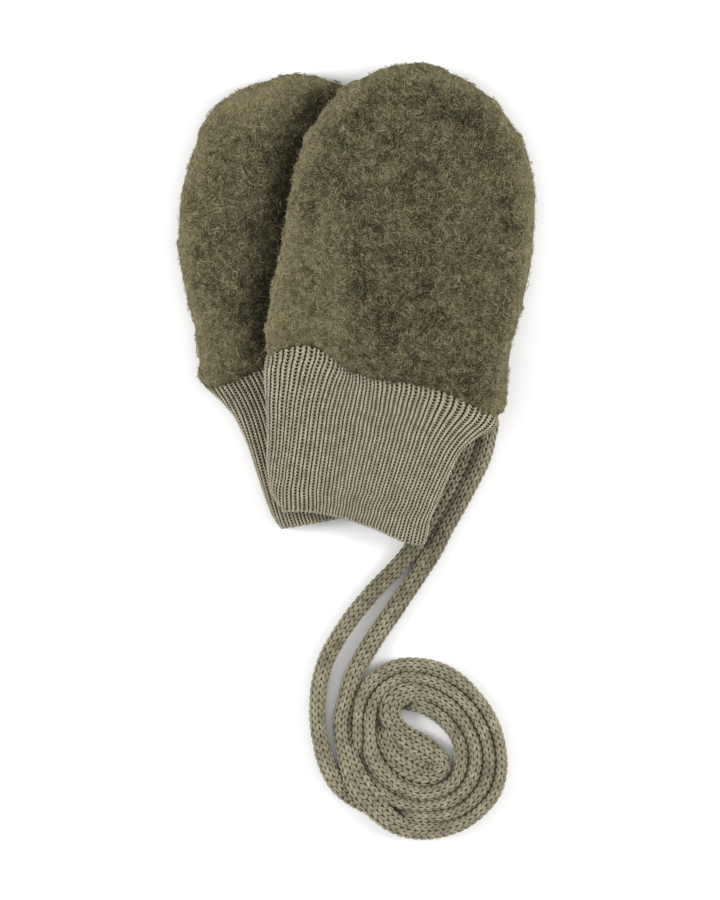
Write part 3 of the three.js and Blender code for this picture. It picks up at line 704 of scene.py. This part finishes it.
def cuff_stitches(kind, seed):
    """The knitted stitches of one cuff, in two pieces: those on top and those beneath."""
    place, long = surfaces[kind]

    def lay(rib, course, x, y, z):
        down = np.maximum((course + FIRST_ROW) * COURSE - y, 0)
        rib = rib + x / RIB_WIDTH
        if kind == "front":
            rib = rib + pulled(rib, down)
        return place(rib, down, z)

    courses = np.arange(int((long + PAST_HEM) / COURSE))
    low, high = TOP_RIBS
    made = []
    for part, shape, ribs in (("top", rib_stitch, np.arange(low, high)),
                              ("under", rib_stitch_under, np.arange(high, low + RIBS_ROUND))):
        ribs = np.where(ribs > RIBS_ROUND / 2, ribs - RIBS_ROUND, ribs)
        rib, course = np.meshgrid(ribs, courses, indexing="ij")
        made.append(knitted(f"{kind}_cuff_{part}_stitches", shape, rib.ravel(),
                            course.ravel().astype(float), lay, seed + len(made)))
    return made


cuff_pieces = {}
for kind, seed in (("front", 5), ("back", 9)):
    band = cuff_band(kind)
    stitches = cuff_stitches(kind, seed)
    cuff_pieces[kind] = (band, stitches)
    for piece in (band, *stitches):
        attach(piece, "root")
    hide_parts(kind + "_cuff")

# %% [markdown]
# ## The wool hands
# The hands are cut from a thick felted fleece, sewn along the outline. The panels already have
# their true form in the solids, so each is copied, its loose triangles are merged and joined to
# four-sided faces, and a subdivision smooths it. Felt is soft, so the points of the copy then
# move a little: down where the other mitten weighs on it, over the seam at the wrist, and in or
# out at the outline. Last, two Displace modifiers raise the small lumps of felt on the outside
# only, so that the inside stays plain.

# %% Where the wool is pressed in
FRONT_EDGE = np.array([
    (-28.9, -16.6), (-29.9, -11.5), (-28.3, -0.7), (-26, 11.5), (-23.4, 23.3), (-22.1, 34.4),
    (-19.5, 46.2), (-14.5, 57.7), (-9.3, 64.9), (-2.1, 71.4), (5.8, 75.3),
])
FRONT_CROWN = np.array([
    (5.8, 75.3), (13, 77.7), (20.2, 78.9), (26.1, 77.7), (31.4, 75.2), (41.2, 70.2),
    (48.4, 63.4), (53, 56), (56.3, 47.6), (58.3, 37.1), (58.4, 24.6), (57, 13.4), (55, 1),
    (52.1, -10.5), (49.9, -22.6), (48.8, -32.5), (46.1, -37),
])
PRESS_DEPTH, PRESS_REACH, PRESS_MARGIN, PRESS_BLEND = 4.4, 6.3, 1, 8
RIDGE_X, RIDGE_FALL, RIDGE_SLOPE = -4, 1.9, 16
RIDGE_TOP, RIDGE_BLEND, ROLL_MARGIN, ROLL_BLEND = 34, 22, 0.5, 5


def pressed_in(node, x, y):
    """How far the upper wool sinks: under the front mitten's edge, and left of its own ridge."""
    if node == "back_hand_top":
        sunk = PRESS_DEPTH * fade(away_from(FRONT_EDGE, x, y), PRESS_REACH)
        inside = away_from(np.array(BACK_HAND), x, y) - PRESS_MARGIN
        return sunk * smooth_share(inside / PRESS_BLEND)
    if node == "front_hand_top":
        sunk = RIDGE_FALL * np.clip((RIDGE_X - x) / RIDGE_SLOPE, 0, 1)
        sunk = sunk * smooth_share((RIDGE_TOP - y) / RIDGE_BLEND)
        return sunk * smooth_share((away_from(FRONT_EDGE, x, y) - ROLL_MARGIN) / ROLL_BLEND)
    return 0 * x


# %% Where the wool is drawn over the seam and its outline moves
SEAM_LAP, LAP_REACH = 0.8, 1.7
# Places where the outline stands out or in: x, y, reach and how far it moves in x and y
PULLS = {
    "back": [(-51.6, -24.6, 3, -1.7, 0), (-48, 61.7, 8, -1, 0.8), (-53.6, -10.5, 7, 1, 0)],
    "front": [(48.6, -33.6, 3.6, 0.9, -0.3), (57, 46.9, 7, 0.8, 0.2), (58.6, 28.9, 9, 0.4, 0),
              (51.4, -13.8, 7, -0.8, 0), (39.6, 70.5, 6, -0.4, -0.5), (56.3, 9.2, 6, 0.3, 0)],
}


def lapped(node, x, y):
    """How far a panel moves in x and y."""
    kind = node.split("_")[0]
    ribs = np.linspace(-RIBS_SEEN / 2, RIBS_SEEN / 2, 40)
    wrist = surfaces[kind][0](ribs, 0 * ribs, 0 * ribs)[:, :2]
    move_x, move_y = 0 * x, -SEAM_LAP * fade(away_from(wrist, x, y), LAP_REACH)
    for at_x, at_y, reach, pull_x, pull_y in PULLS[kind]:
        share = fade_round(x, y, at_x, at_y, reach)
        move_x, move_y = move_x + share * pull_x, move_y + share * pull_y
    return move_x, move_y


# %% Painted light and shade on the nap, and patches of tone
RIMS = {"front": np.vstack([FRONT_EDGE, FRONT_CROWN[1:]]), "back": np.array(BACK_HAND)[1:22]}
# Painted light at the rims, painted shade beside the front mitten's edge, and painted light on the
# front's left strip
PAINTED_RIM_LIGHT, RIM_REACH = 0.65, 4.4
SHADE_DARKER, SHADE_REACH = 0.3, 6
PAINTED_STRIP_LIGHT, STRIP_EDGE, STRIP_TOP = 0.26, RIDGE_X + 1.4, 40
STRIP_BLEND_X, STRIP_BLEND_Y, FRONT_DARKER = 1.6, 20, 0.05
# Single places: x, y, how far each reaches and by how much it is paler. On the front mitten the
# darker places near x = 0 are painted shade along its ridge, and on the back mitten the paler
# places are painted light near its rim; the rest are patches of paler and darker nap.
PAINTED_LIGHT_SHADE_AND_PATCHES = {
    "front": [(34, 60, 5, -0.2), (25, 62, 4, -0.15), (49, 32, 5, -0.2), (-2, 33, 4, -0.15),
              (0, 18, 5, -0.2), (1, 5, 5, -0.24), (12, -7, 6, -0.18), (22, 30, 14, -0.06),
              (20, -2, 12, -0.08), (34, 14, 5, 0.12), (8, 42, 6, 0.1), (-18, -8, 8, 0.1)],
    "back": [(-34, 66, 9, 0.5), (-50, 45, 6, 0.16), (-20, 66, 6, 0.2), (-36, 20, 8, -0.03),
             (-42, -14, 9, 0.2)],
}


def nap_tone_and_painted_light(node, x, y):
    """How much paler the nap is at a place, against its middle tone, with painted light and shade.
    """
    kind = node.split("_")[0]
    # Painted light: the nap is paler near each mitten's rim.
    tone = PAINTED_RIM_LIGHT * fade(away_from(RIMS[kind], x, y), RIM_REACH)
    if kind == "back":
        # Painted shade: on the back mitten the nap is darker beside the front mitten's edge.
        tone = tone - SHADE_DARKER * fade(away_from(FRONT_EDGE, x, y), SHADE_REACH)
    for at_x, at_y, reach, amount in PAINTED_LIGHT_SHADE_AND_PATCHES[kind]:
        tone = tone + amount * fade_round(x, y, at_x, at_y, reach)
    # Painted light: the front mitten's left strip, which slopes towards the left lamp, is paler,
    # and the whole front is a little darker.
    if node == "front_hand_top":
        strip = (smooth_share((STRIP_EDGE - x) / STRIP_BLEND_X)
                 * smooth_share((STRIP_TOP - y) / STRIP_BLEND_Y))
        tone = tone + PAINTED_STRIP_LIGHT * strip - FRONT_DARKER
    return tone


# %% Felt panels
# Lumps of two kinds: their size and how far they stand out or in, in metres
LUMPS = [(0.0065, 0.0011), (0.0024, 0.0008)]


def smooth_copy(node, levels):
    """A copy of one solid, closed, of four-sided faces and subdivided to a smooth form."""
    panel = bpy.data.objects.new(node + "_felt", frame["nodes"][node].data.copy())
    bpy.context.scene.collection.objects.link(panel)
    select_only(panel)
    bpy.ops.object.mode_set(mode="EDIT")
    bpy.ops.mesh.select_all(action="SELECT")
    bpy.ops.mesh.remove_doubles(threshold=0.02 * MM)
    bpy.ops.mesh.tris_convert_to_quads()
    bpy.ops.object.mode_set(mode="OBJECT")
    smoothing = panel.modifiers.new("smooth", "SUBSURF")
    smoothing.levels = smoothing.render_levels = levels
    bpy.ops.object.modifier_apply(modifier=smoothing.name)
    return panel


def raise_lumps(panel, node):
    """Raises the lumps of the felt on the outside, and a little less where it faces straight up."""
    side = 1 if node.endswith("top") else -1
    steep = read_points(panel.data, "normal")[:, 2] * side
    outward = np.clip(steep * 2 + 0.95, 0, 1) * (1 - 0.3 * steep ** 2)
    group = panel.vertex_groups.new(name="outside")
    for index, weight in enumerate(outward):
        if weight > 0:
            group.add([index], float(weight), "REPLACE")
    for size, height in LUMPS:
        clouds = bpy.data.textures.new(f"{node}_lumps_{size}", "CLOUDS")
        clouds.noise_scale = size
        clouds.noise_depth = 1
        lumps = panel.modifiers.new("lumps", "DISPLACE")
        lumps.texture = clouds
        lumps.texture_coords = "LOCAL"
        lumps.vertex_group = group.name
        lumps.strength = height * 2
        lumps.mid_level = 0.5
        bpy.ops.object.modifier_apply(modifier=lumps.name)


def felt_panel(node, levels):
    """One hand panel of soft, lumpy felt."""
    panel = smooth_copy(node, levels)
    spots = read_points(panel.data, "co")
    x, y = spots[:, 0] / MM, spots[:, 1] / MM
    spots[:, 2] -= pressed_in(node, x, y) * MM
    spots[:, :2] += np.stack(lapped(node, x, y), axis=1) * MM
    panel.data.vertices.foreach_set("co", spots.ravel())
    panel.data.update()
    raise_lumps(panel, node)
    for vertex in panel.data.vertices:
        vertex.co.z = max(vertex.co.z, 0)
    bpy.ops.object.shade_smooth()
    # The felt's tone carries painted light and shade as well as patches of tone.
    point_values(panel, "tone", 0.5 + nap_tone_and_painted_light(node, spots[:, 0] / MM, spots[:, 1] / MM))
    print(panel.name, "has", triangles_of(panel), "triangles")
    return panel

# %% [markdown]
# ## Loose fibres
# What makes this wool look warm is its nap: short fibres that lie across each other and stand a
# little off the edge. Hair particles would not be exported, so each fibre is a narrow ribbon.
# The fibres gather in small clumps, and the felt between them is coloured darker, as painted shade
# in the pits. Each is laid in a random direction, every point of it is put down on the felt, and
# its ends are lifted slightly. Those that stand off the edge catch more light, and that light is
# painted: they are paler.

# %% Where the fibres grow
FIBRES_IN_CLUMP = 4


def felt_faces(panel):
    """The points of a panel and its triangles, each as three numbers of points."""
    mesh = panel.data
    mesh.calc_loop_triangles()
    triangles = np.empty(len(mesh.loop_triangles) * 3, np.int32)
    mesh.loop_triangles.foreach_get("vertices", triangles)
    return read_points(mesh, "co").astype(float), triangles.reshape(-1, 3)


def clump_roots(points, triangles, side, clumps, chance):
    """Random places on the outside of the felt, even by area, and the way each one faces."""
    a, b, c = (points[triangles[:, k]] for k in range(3))
    normal = np.cross(b - a, c - a)
    area = np.linalg.norm(normal, axis=1)
    kept = np.flatnonzero(normal[:, 2] * side / np.maximum(area, 1e-15) > -0.1)
    pick = kept[chance.choice(len(kept), clumps, p=area[kept] / area[kept].sum())]
    u, v = chance.random((2, clumps, 1))
    u, v = np.where(u + v > 1, 1 - u, u), np.where(u + v > 1, 1 - v, v)
    root = a[pick] + u * (b[pick] - a[pick]) + v * (c[pick] - a[pick])
    return root, normal[pick] / area[pick][:, None]


# %% How each fibre lies
CLUMP_SPREAD, CURL_SPREAD = 0.5, 2.3
FIBRE_LENGTH, FIBRE_LONGER = 1.3, 2.4
FUZZ, FUZZ_LONGER = 0.2, 0.9
FIBRE_STATIONS = 4
ALONG_FIBRE = np.linspace(-0.5, 0.5, FIBRE_STATIONS)


def curled(root, facing, chance):
    """A curled line for each fibre, laid flat in a random direction near its clump's root."""
    count = len(root)
    first = np.cross(facing, chance.normal(size=(count, 3)))
    first /= np.linalg.norm(first, axis=1)[:, None]
    second = np.cross(facing, first)
    strewn = chance.normal(0, CLUMP_SPREAD * MM, (2, count, 1))
    root = root + first * strewn[0] + second * strewn[1]
    long = MM * (FIBRE_LENGTH + FIBRE_LONGER * chance.random(count) ** 1.6)
    curl = chance.normal(0, CURL_SPREAD, count)
    angle = curl[:, None] * ALONG_FIBRE[None, :]
    step = long[:, None] / (FIBRE_STATIONS - 1)
    forward = np.cumsum(np.cos(angle), axis=1) * step
    sideways = np.cumsum(np.sin(angle), axis=1) * step
    forward -= forward.mean(1)[:, None]
    sideways -= sideways.mean(1)[:, None]
    return (root[:, None] + first[:, None] * forward[..., None]
            + second[:, None] * sideways[..., None])


def laid_down(spine, points, triangles, chance):
    """Puts lines down on the felt, apart from what stands off its edge, and says how far off."""
    tree = BVHTree.FromPolygons(points.tolist(), triangles.tolist())
    on_felt, off_felt = np.empty_like(spine), np.empty_like(spine)
    for index in np.ndindex(spine.shape[:2]):
        on_felt[index], off_felt[index], _, _ = tree.find_nearest(Vector(spine[index]))
    beyond = spine - on_felt
    far = np.linalg.norm(beyond, axis=-1, keepdims=True)
    fuzz = MM * (FUZZ + FUZZ_LONGER * chance.random((len(spine), 1, 1)) ** 1.5)
    on_felt += beyond * np.minimum(1, fuzz / np.maximum(far, 1e-9))
    return on_felt, off_felt, far.max(1)[:, 0] / MM


# %% Ribbons along the fibres
DEPTH, DEEPER = 0.02, 0.3
END_LIFT, MOST_ROLL = 0.28, 0.5
HALF_WIDTH, HALF_WIDER = 0.075, 0.09


def unit(rows):
    """Directions made one long."""
    return rows / np.maximum(np.linalg.norm(rows, axis=-1, keepdims=True), 1e-12)


def ribbons(on_felt, off_felt, chance):
    """The middle of each ribbon and its two edges, tapering to ends that lift off the felt."""
    count = len(on_felt)
    depth = MM * (DEPTH + DEEPER * chance.random(count) ** 1.3)
    ends = MM * np.abs(chance.normal(0, END_LIFT, (count, 2)))
    from_middle = np.abs(ALONG_FIBRE) * 2
    lift = depth[:, None] + np.where(ALONG_FIBRE < 0, ends[:, :1], ends[:, 1:]) * from_middle ** 2
    middle = on_felt + off_felt * lift[..., None]
    across = unit(np.cross(off_felt, unit(np.gradient(middle, axis=1))))
    roll = chance.uniform(-MOST_ROLL, MOST_ROLL, count)[:, None, None]
    across = across * np.cos(roll) + off_felt * np.sin(roll)
    half = MM * (HALF_WIDTH + HALF_WIDER * chance.random(count) ** 2)[:, None, None]
    taper = np.interp(from_middle, [0, 0.6, 1], [1, 0.9, 0.35])[None, :, None]
    edge = across * half * taper
    return middle, np.stack([middle - edge, middle + edge], axis=2)


# %% Fibres of one panel
PALE_SHARE, PALE_TONE, TONE_SPREAD, CLUMP_SHARE = 0.37, 0.8, 0.25, 0.2
# Painted light on fibres that stand off the edge: how much paler, from how far off, over what blend
PAINTED_FUZZ_LIGHT, STANDS_FROM, STANDS_BLEND = 0.6, 0.5, 0.6


def fibres_on(panel, node, count, seed):
    """Short curved ribbons strewn over the outside of a felt panel, joined in one mesh."""
    chance = np.random.default_rng(seed)
    points, triangles = felt_faces(panel)
    side = 1 if node.endswith("top") else -1
    clumps = count // FIBRES_IN_CLUMP
    root, facing = clump_roots(points, triangles, side, clumps, chance)
    clump = chance.integers(clumps, size=count)
    pale = chance.random(count) < PALE_SHARE
    shade = chance.random(count) * TONE_SPREAD
    tone = CLUMP_SHARE * chance.random(clumps)[clump]
    tone += (1 - CLUMP_SHARE) * np.where(pale, PALE_TONE + shade, shade)
    spine = curled(root[clump], facing[clump], chance)
    on_felt, off_felt, far = laid_down(spine, points, triangles, chance)
    middle, edges = ribbons(on_felt, off_felt, chance)
    each = np.arange(count)[:, None, None] * FIBRE_STATIONS * 2
    strip = np.arange(FIBRE_STATIONS - 1)[:, None] * 2 + np.array([[0, 1, 3, 2]])
    hair = mesh_object(node + "_fibres", edges.reshape(-1, 3),
                       (each + strip[None]).reshape(-1, 4))
    # Painted light: fibres that stand off the edge are paler.
    tone += PAINTED_FUZZ_LIGHT * np.clip((far - STANDS_FROM) / STANDS_BLEND, 0, 1)
    # The painted light and shade of the nap, and its patches of tone
    tone += nap_tone_and_painted_light(node, middle[:, 1, 0] / MM, middle[:, 1, 1] / MM)
    point_values(hair, "tone", np.repeat(tone, FIBRE_STATIONS * 2))
    print(hair.name, "has", count, "fibres and", triangles_of(hair), "triangles")
    return hair


HANDS = {
    "front_hand_top": (2, 32000, 31, "front_hand_under"),
    "front_hand_under": (1, 4000, 37, "back_hand_top"),
    "back_hand_top": (2, 21000, 41, "back_hand_under"),
    "back_hand_under": (1, 4000, 43, "wool_floor"),
}
felt_pieces, fibre_pieces = [], []
for node, (levels, count, seed, under) in HANDS.items():
    panel = felt_panel(node, levels)
    hair = fibres_on(panel, node, count, seed)
    felt_pieces.append(panel)
    fibre_pieces.append(hair)
    for piece in (panel, hair):
        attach(piece, "root")
    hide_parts(node)

# %% [markdown]
# ## Heather
# Both yarns and the wool are dyed in the fleece: fibres of several browns and greens are mixed
# before spinning, so no place has quite one colour. All of the materials share that effect, so
# it is one node group. It mixes a deep and a pale colour by a slow and a fine noise and by the
# tone that each stitch or fibre carries, and it gives a height for the bump.

# %% Helpers for nodes
def maths(tree, operation, *values):
    """What a Math node gives. Each value is a number or another node's output."""
    node = tree.nodes.new("ShaderNodeMath")
    node.operation = operation
    for socket, value in zip(node.inputs, values):
        if isinstance(value, (int, float)):
            socket.default_value = value
        else:
            tree.links.new(value, socket)
    return node.outputs[0]


def mixed_colour(tree, share, first, second):
    """What a Mix node gives between two colours, with the share kept from 0 to 1."""
    node = tree.nodes.new("ShaderNodeMix")
    node.data_type = "RGBA"
    node.clamp_factor = True
    for index, value in ((0, share), (6, first), (7, second)):
        tree.links.new(value, node.inputs[index])
    return node.outputs[2]


# %% The shared node group
CLOUD_SIZE = 110
HEATHER_INPUTS = [
    ("Deep", "Color", (0.05, 0.045, 0.02, 1)), ("Pale", "Color", (0.2, 0.18, 0.12, 1)),
    ("Tint", "Color", (0.1, 0.12, 0.06, 1)), ("Tint Amount", "Float", 0.2),
    ("Tone", "Float", 0.5), ("Tone Amount", "Float", 0.4), ("Cloud Amount", "Float", 0.3),
    ("Fleck Amount", "Float", 1.2), ("Patch Size", "Float", 200.0), ("Fleck Size", "Float", 1500.0),
]


def heather_group():
    """Mixes a deep, a pale and a tinted colour by noise and tone, and gives a height."""
    group = bpy.data.node_groups.new("heather", "ShaderNodeTree")
    for name, kind, value in HEATHER_INPUTS:
        socket = group.interface.new_socket(name, in_out="INPUT", socket_type="NodeSocket" + kind)
        socket.default_value = value
    group.interface.new_socket("Color", in_out="OUTPUT", socket_type="NodeSocketColor")
    group.interface.new_socket("Height", in_out="OUTPUT", socket_type="NodeSocketFloat")
    nodes, links = group.nodes, group.links
    given, leave = nodes.new("NodeGroupInput").outputs, nodes.new("NodeGroupOutput").inputs
    where = nodes.new("ShaderNodeTexCoord")

    def noise(detail, rough, size=None):
        node = nodes.new("ShaderNodeTexNoise")
        node.inputs["Detail"].default_value = detail
        node.inputs["Roughness"].default_value = rough
        links.new(where.outputs["Object"], node.inputs["Vector"])
        if size:
            links.new(given[size], node.inputs["Scale"])
        return node

    def around_zero(value):
        return maths(group, "SUBTRACT", value, 0.5)

    patch = noise(3, 0.6, "Patch Size").outputs["Fac"]
    fleck = noise(2, 0.7, "Fleck Size").outputs["Fac"]
    cloud_noise = noise(2, 0.5)
    cloud_noise.inputs["Scale"].default_value = CLOUD_SIZE
    tone = maths(group, "MULTIPLY", around_zero(given["Tone"]), given["Tone Amount"])
    slow = maths(group, "MULTIPLY", around_zero(patch), 1.6)
    flecks = maths(group, "MULTIPLY", around_zero(fleck), given["Fleck Amount"])
    clouds = maths(group, "MULTIPLY", around_zero(cloud_noise.outputs["Fac"]),
                   given["Cloud Amount"])
    share = maths(group, "ADD", maths(group, "ADD", slow, flecks),
                  maths(group, "ADD", clouds, maths(group, "ADD", tone, 0.5)))
    mix = mixed_colour(group, share, given["Deep"], given["Pale"])
    tint_noise = noise(1, 0.5, "Patch Size")
    tint_noise.noise_dimensions = "4D"
    tint_noise.inputs["W"].default_value = 7.3
    sharp = nodes.new("ShaderNodeMapRange")
    sharp.inputs["From Min"].default_value = 0.5
    sharp.inputs["From Max"].default_value = 0.75
    links.new(tint_noise.outputs["Fac"], sharp.inputs["Value"])
    tinted = maths(group, "MULTIPLY", sharp.outputs[0], given["Tint Amount"])
    links.new(mixed_colour(group, tinted, mix, given["Tint"]), leave["Color"])
    height = maths(group, "ADD", maths(group, "MULTIPLY", patch, 0.5),
                   maths(group, "MULTIPLY", fleck, 0.5))
    links.new(height, leave["Height"])
    return group


heather = heather_group()
print("heather has", len(heather.nodes), "nodes")

# %% A woollen material
def wool_material(name, deep, pale, tint, values, roughness=1, sheen=0.0, bump=0.0002, ply=0):
    """A matt woollen surface. Its colour and bump come from heather, and ply twists the yarn."""
    material = bpy.data.materials.new(name)
    material.use_nodes = True
    tree = material.node_tree
    shader = tree.nodes["Principled BSDF"]
    shader.inputs["Roughness"].default_value = roughness
    shader.inputs["Specular IOR Level"].default_value = 0.15
    shader.inputs["Sheen Weight"].default_value = sheen
    shader.inputs["Sheen Roughness"].default_value = 0.6
    shader.inputs["Sheen Tint"].default_value = (0.8, 0.78, 0.68, 1)
    mixed = tree.nodes.new("ShaderNodeGroup")
    mixed.node_tree = heather
    for socket, colour in (("Deep", deep), ("Pale", pale), ("Tint", tint)):
        mixed.inputs[socket].default_value = (*colour, 1)
    for socket, value in values.items():
        mixed.inputs[socket].default_value = value

    def carried(value_name):
        node = tree.nodes.new("ShaderNodeAttribute")
        node.attribute_name = value_name
        return node.outputs["Fac"]

    tree.links.new(carried("tone"), mixed.inputs["Tone"])
    tree.links.new(mixed.outputs["Color"], shader.inputs["Base Color"])
    height = mixed.outputs["Height"]
    if ply:
        twist = maths(tree, "SINE", maths(tree, "MULTIPLY", carried("ply"), ply))
        height = maths(tree, "MULTIPLY_ADD", twist, 0.3, height)
    relief = tree.nodes.new("ShaderNodeBump")
    relief.inputs["Strength"].default_value = 1
    relief.inputs["Distance"].default_value = bump
    tree.links.new(height, relief.inputs["Height"])
    tree.links.new(relief.outputs["Normal"], shader.inputs["Normal"])
    return material


# %% Materials
# Painted shade: the felt under the fibres is coloured darker than the nap, for the shade in the
# pits between the clumps.
felt = wool_material(
    "felted wool", (0.014, 0.0115, 0.005), (0.15, 0.128, 0.066), (0.06, 0.07, 0.034),
    {"Tint Amount": 0.3, "Tone Amount": 0.8, "Cloud Amount": 0.8, "Patch Size": 520,
     "Fleck Size": 2000, "Fleck Amount": 2.8}, sheen=0.05, bump=0.0006)
nap = wool_material(
    "wool nap", (0.019, 0.0157, 0.0065), (0.262, 0.227, 0.127), (0.1, 0.12, 0.062),
    {"Tint Amount": 0.35, "Tone Amount": 1.0, "Cloud Amount": 0.8, "Patch Size": 330,
     "Fleck Size": 2400, "Fleck Amount": 3.2}, sheen=0.08, bump=0.0001)
rib_yarn = wool_material(
    "rib yarn", (0.24, 0.214, 0.15), (0.47, 0.425, 0.315), (0.3, 0.31, 0.21),
    {"Tone Amount": 0.35, "Cloud Amount": 0.3, "Patch Size": 400, "Fleck Size": 2600},
    roughness=0.95, sheen=0.08, bump=0.00012, ply=9)
cord_yarn = wool_material(
    "cord yarn", (0.132, 0.117, 0.073), (0.355, 0.321, 0.229), (0.18, 0.2, 0.124),
    {"Tint Amount": 0.25, "Tone Amount": 0.3, "Cloud Amount": 0.4, "Patch Size": 260,
     "Fleck Size": 2200}, roughness=0.95, sheen=0.08, bump=0.00016, ply=7)
# Painted shade: the band and core under the stitches are coloured far darker than the yarn, for the
# shade in the holes between stitches.
HOLE_SHADE = {"Tone Amount": 0, "Cloud Amount": 0.2, "Patch Size": 300, "Fleck Size": 2600}
rib_hole_shade = wool_material("rib hole shade", (0.032, 0.026, 0.01), (0.07, 0.058, 0.026),
                           (0.04, 0.043, 0.021), HOLE_SHADE)
cord_hole_shade = wool_material("cord hole shade", (0.024, 0.019, 0.007), (0.055, 0.045, 0.02),
                            (0.03, 0.033, 0.015), HOLE_SHADE)


# %% Dress the pieces
def dress(obj, material):
    """Gives a piece its one material."""
    obj.data.materials.clear()
    obj.data.materials.append(material)


for panel, hair in zip(felt_pieces, fibre_pieces):
    dress(panel, felt)
    dress(hair, nap)
# The cuff bands and the cord's core wear the painted shade of the holes.
for band, stitches in cuff_pieces.values():
    dress(band, rib_hole_shade)
    for piece in stitches:
        dress(piece, rib_yarn)
dress(cord_core, cord_hole_shade)
dress(cord_stitches, cord_yarn)

# %% [markdown]
# ## Floor and light
# The pair lies on a plain white ground in even studio light. A bright sky all round gives the
# soft dark seams between the pieces. Two wide lamps stand low on the left and on the right, so
# that outer sides are pale and the sides that face another piece are dark.

# %% Floor
FLOOR_SIZE, FLOOR_LEVEL = 6, -0.2 * MM
bpy.ops.object.select_all(action="DESELECT")
bpy.ops.mesh.primitive_plane_add(size=FLOOR_SIZE, location=(0, 0, FLOOR_LEVEL))
floor = bpy.context.object
floor.name = "wool_floor"
bpy.ops.object.transform_apply(location=True, rotation=True, scale=True)
paper = bpy.data.materials.new("white paper")
paper.use_nodes = True
paper_shader = paper.node_tree.nodes["Principled BSDF"]
paper_shader.inputs["Base Color"].default_value = (0.93, 0.93, 0.93, 1)
paper_shader.inputs["Roughness"].default_value = 0.9
paper_shader.inputs["Specular IOR Level"].default_value = 0.1
dress(floor, paper)

# %% Light
SKY_STRENGTH = 0.78
LAMP_SIZE, LAMP_POWER = 0.9, 30
LIT_PLACE = Vector((0, -0.05, 0))

scene = bpy.context.scene
scene.view_settings.view_transform = "Standard"
world = bpy.data.worlds.new("studio")
scene.world = world
world.use_nodes = True
sky = world.node_tree.nodes["Background"]
sky.inputs["Color"].default_value = (1, 1, 1, 1)
sky.inputs["Strength"].default_value = SKY_STRENGTH


def soft_lamp(name, place):
    """A round lamp that faces the mittens."""
    data = bpy.data.lights.new(name, "AREA")
    data.shape = "DISK"
    data.size = LAMP_SIZE
    data.energy = LAMP_POWER
    lamp = bpy.data.objects.new(name, data)
    lamp.location = place
    lamp.rotation_euler = (LIT_PLACE - Vector(place)).to_track_quat("-Z", "Y").to_euler()
    scene.collection.objects.link(lamp)


soft_lamp("left_lamp", (-1.7, 0.1, 0.95))
soft_lamp("right_lamp", (1.7, 0.1, 0.95))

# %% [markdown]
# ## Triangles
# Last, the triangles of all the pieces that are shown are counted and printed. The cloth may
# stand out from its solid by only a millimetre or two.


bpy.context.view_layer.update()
total = sum(triangles_of(o) for o in scene.objects if o.type == "MESH" and not o.hide_render
            and "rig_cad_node" not in o)
print("triangles in all:", total)
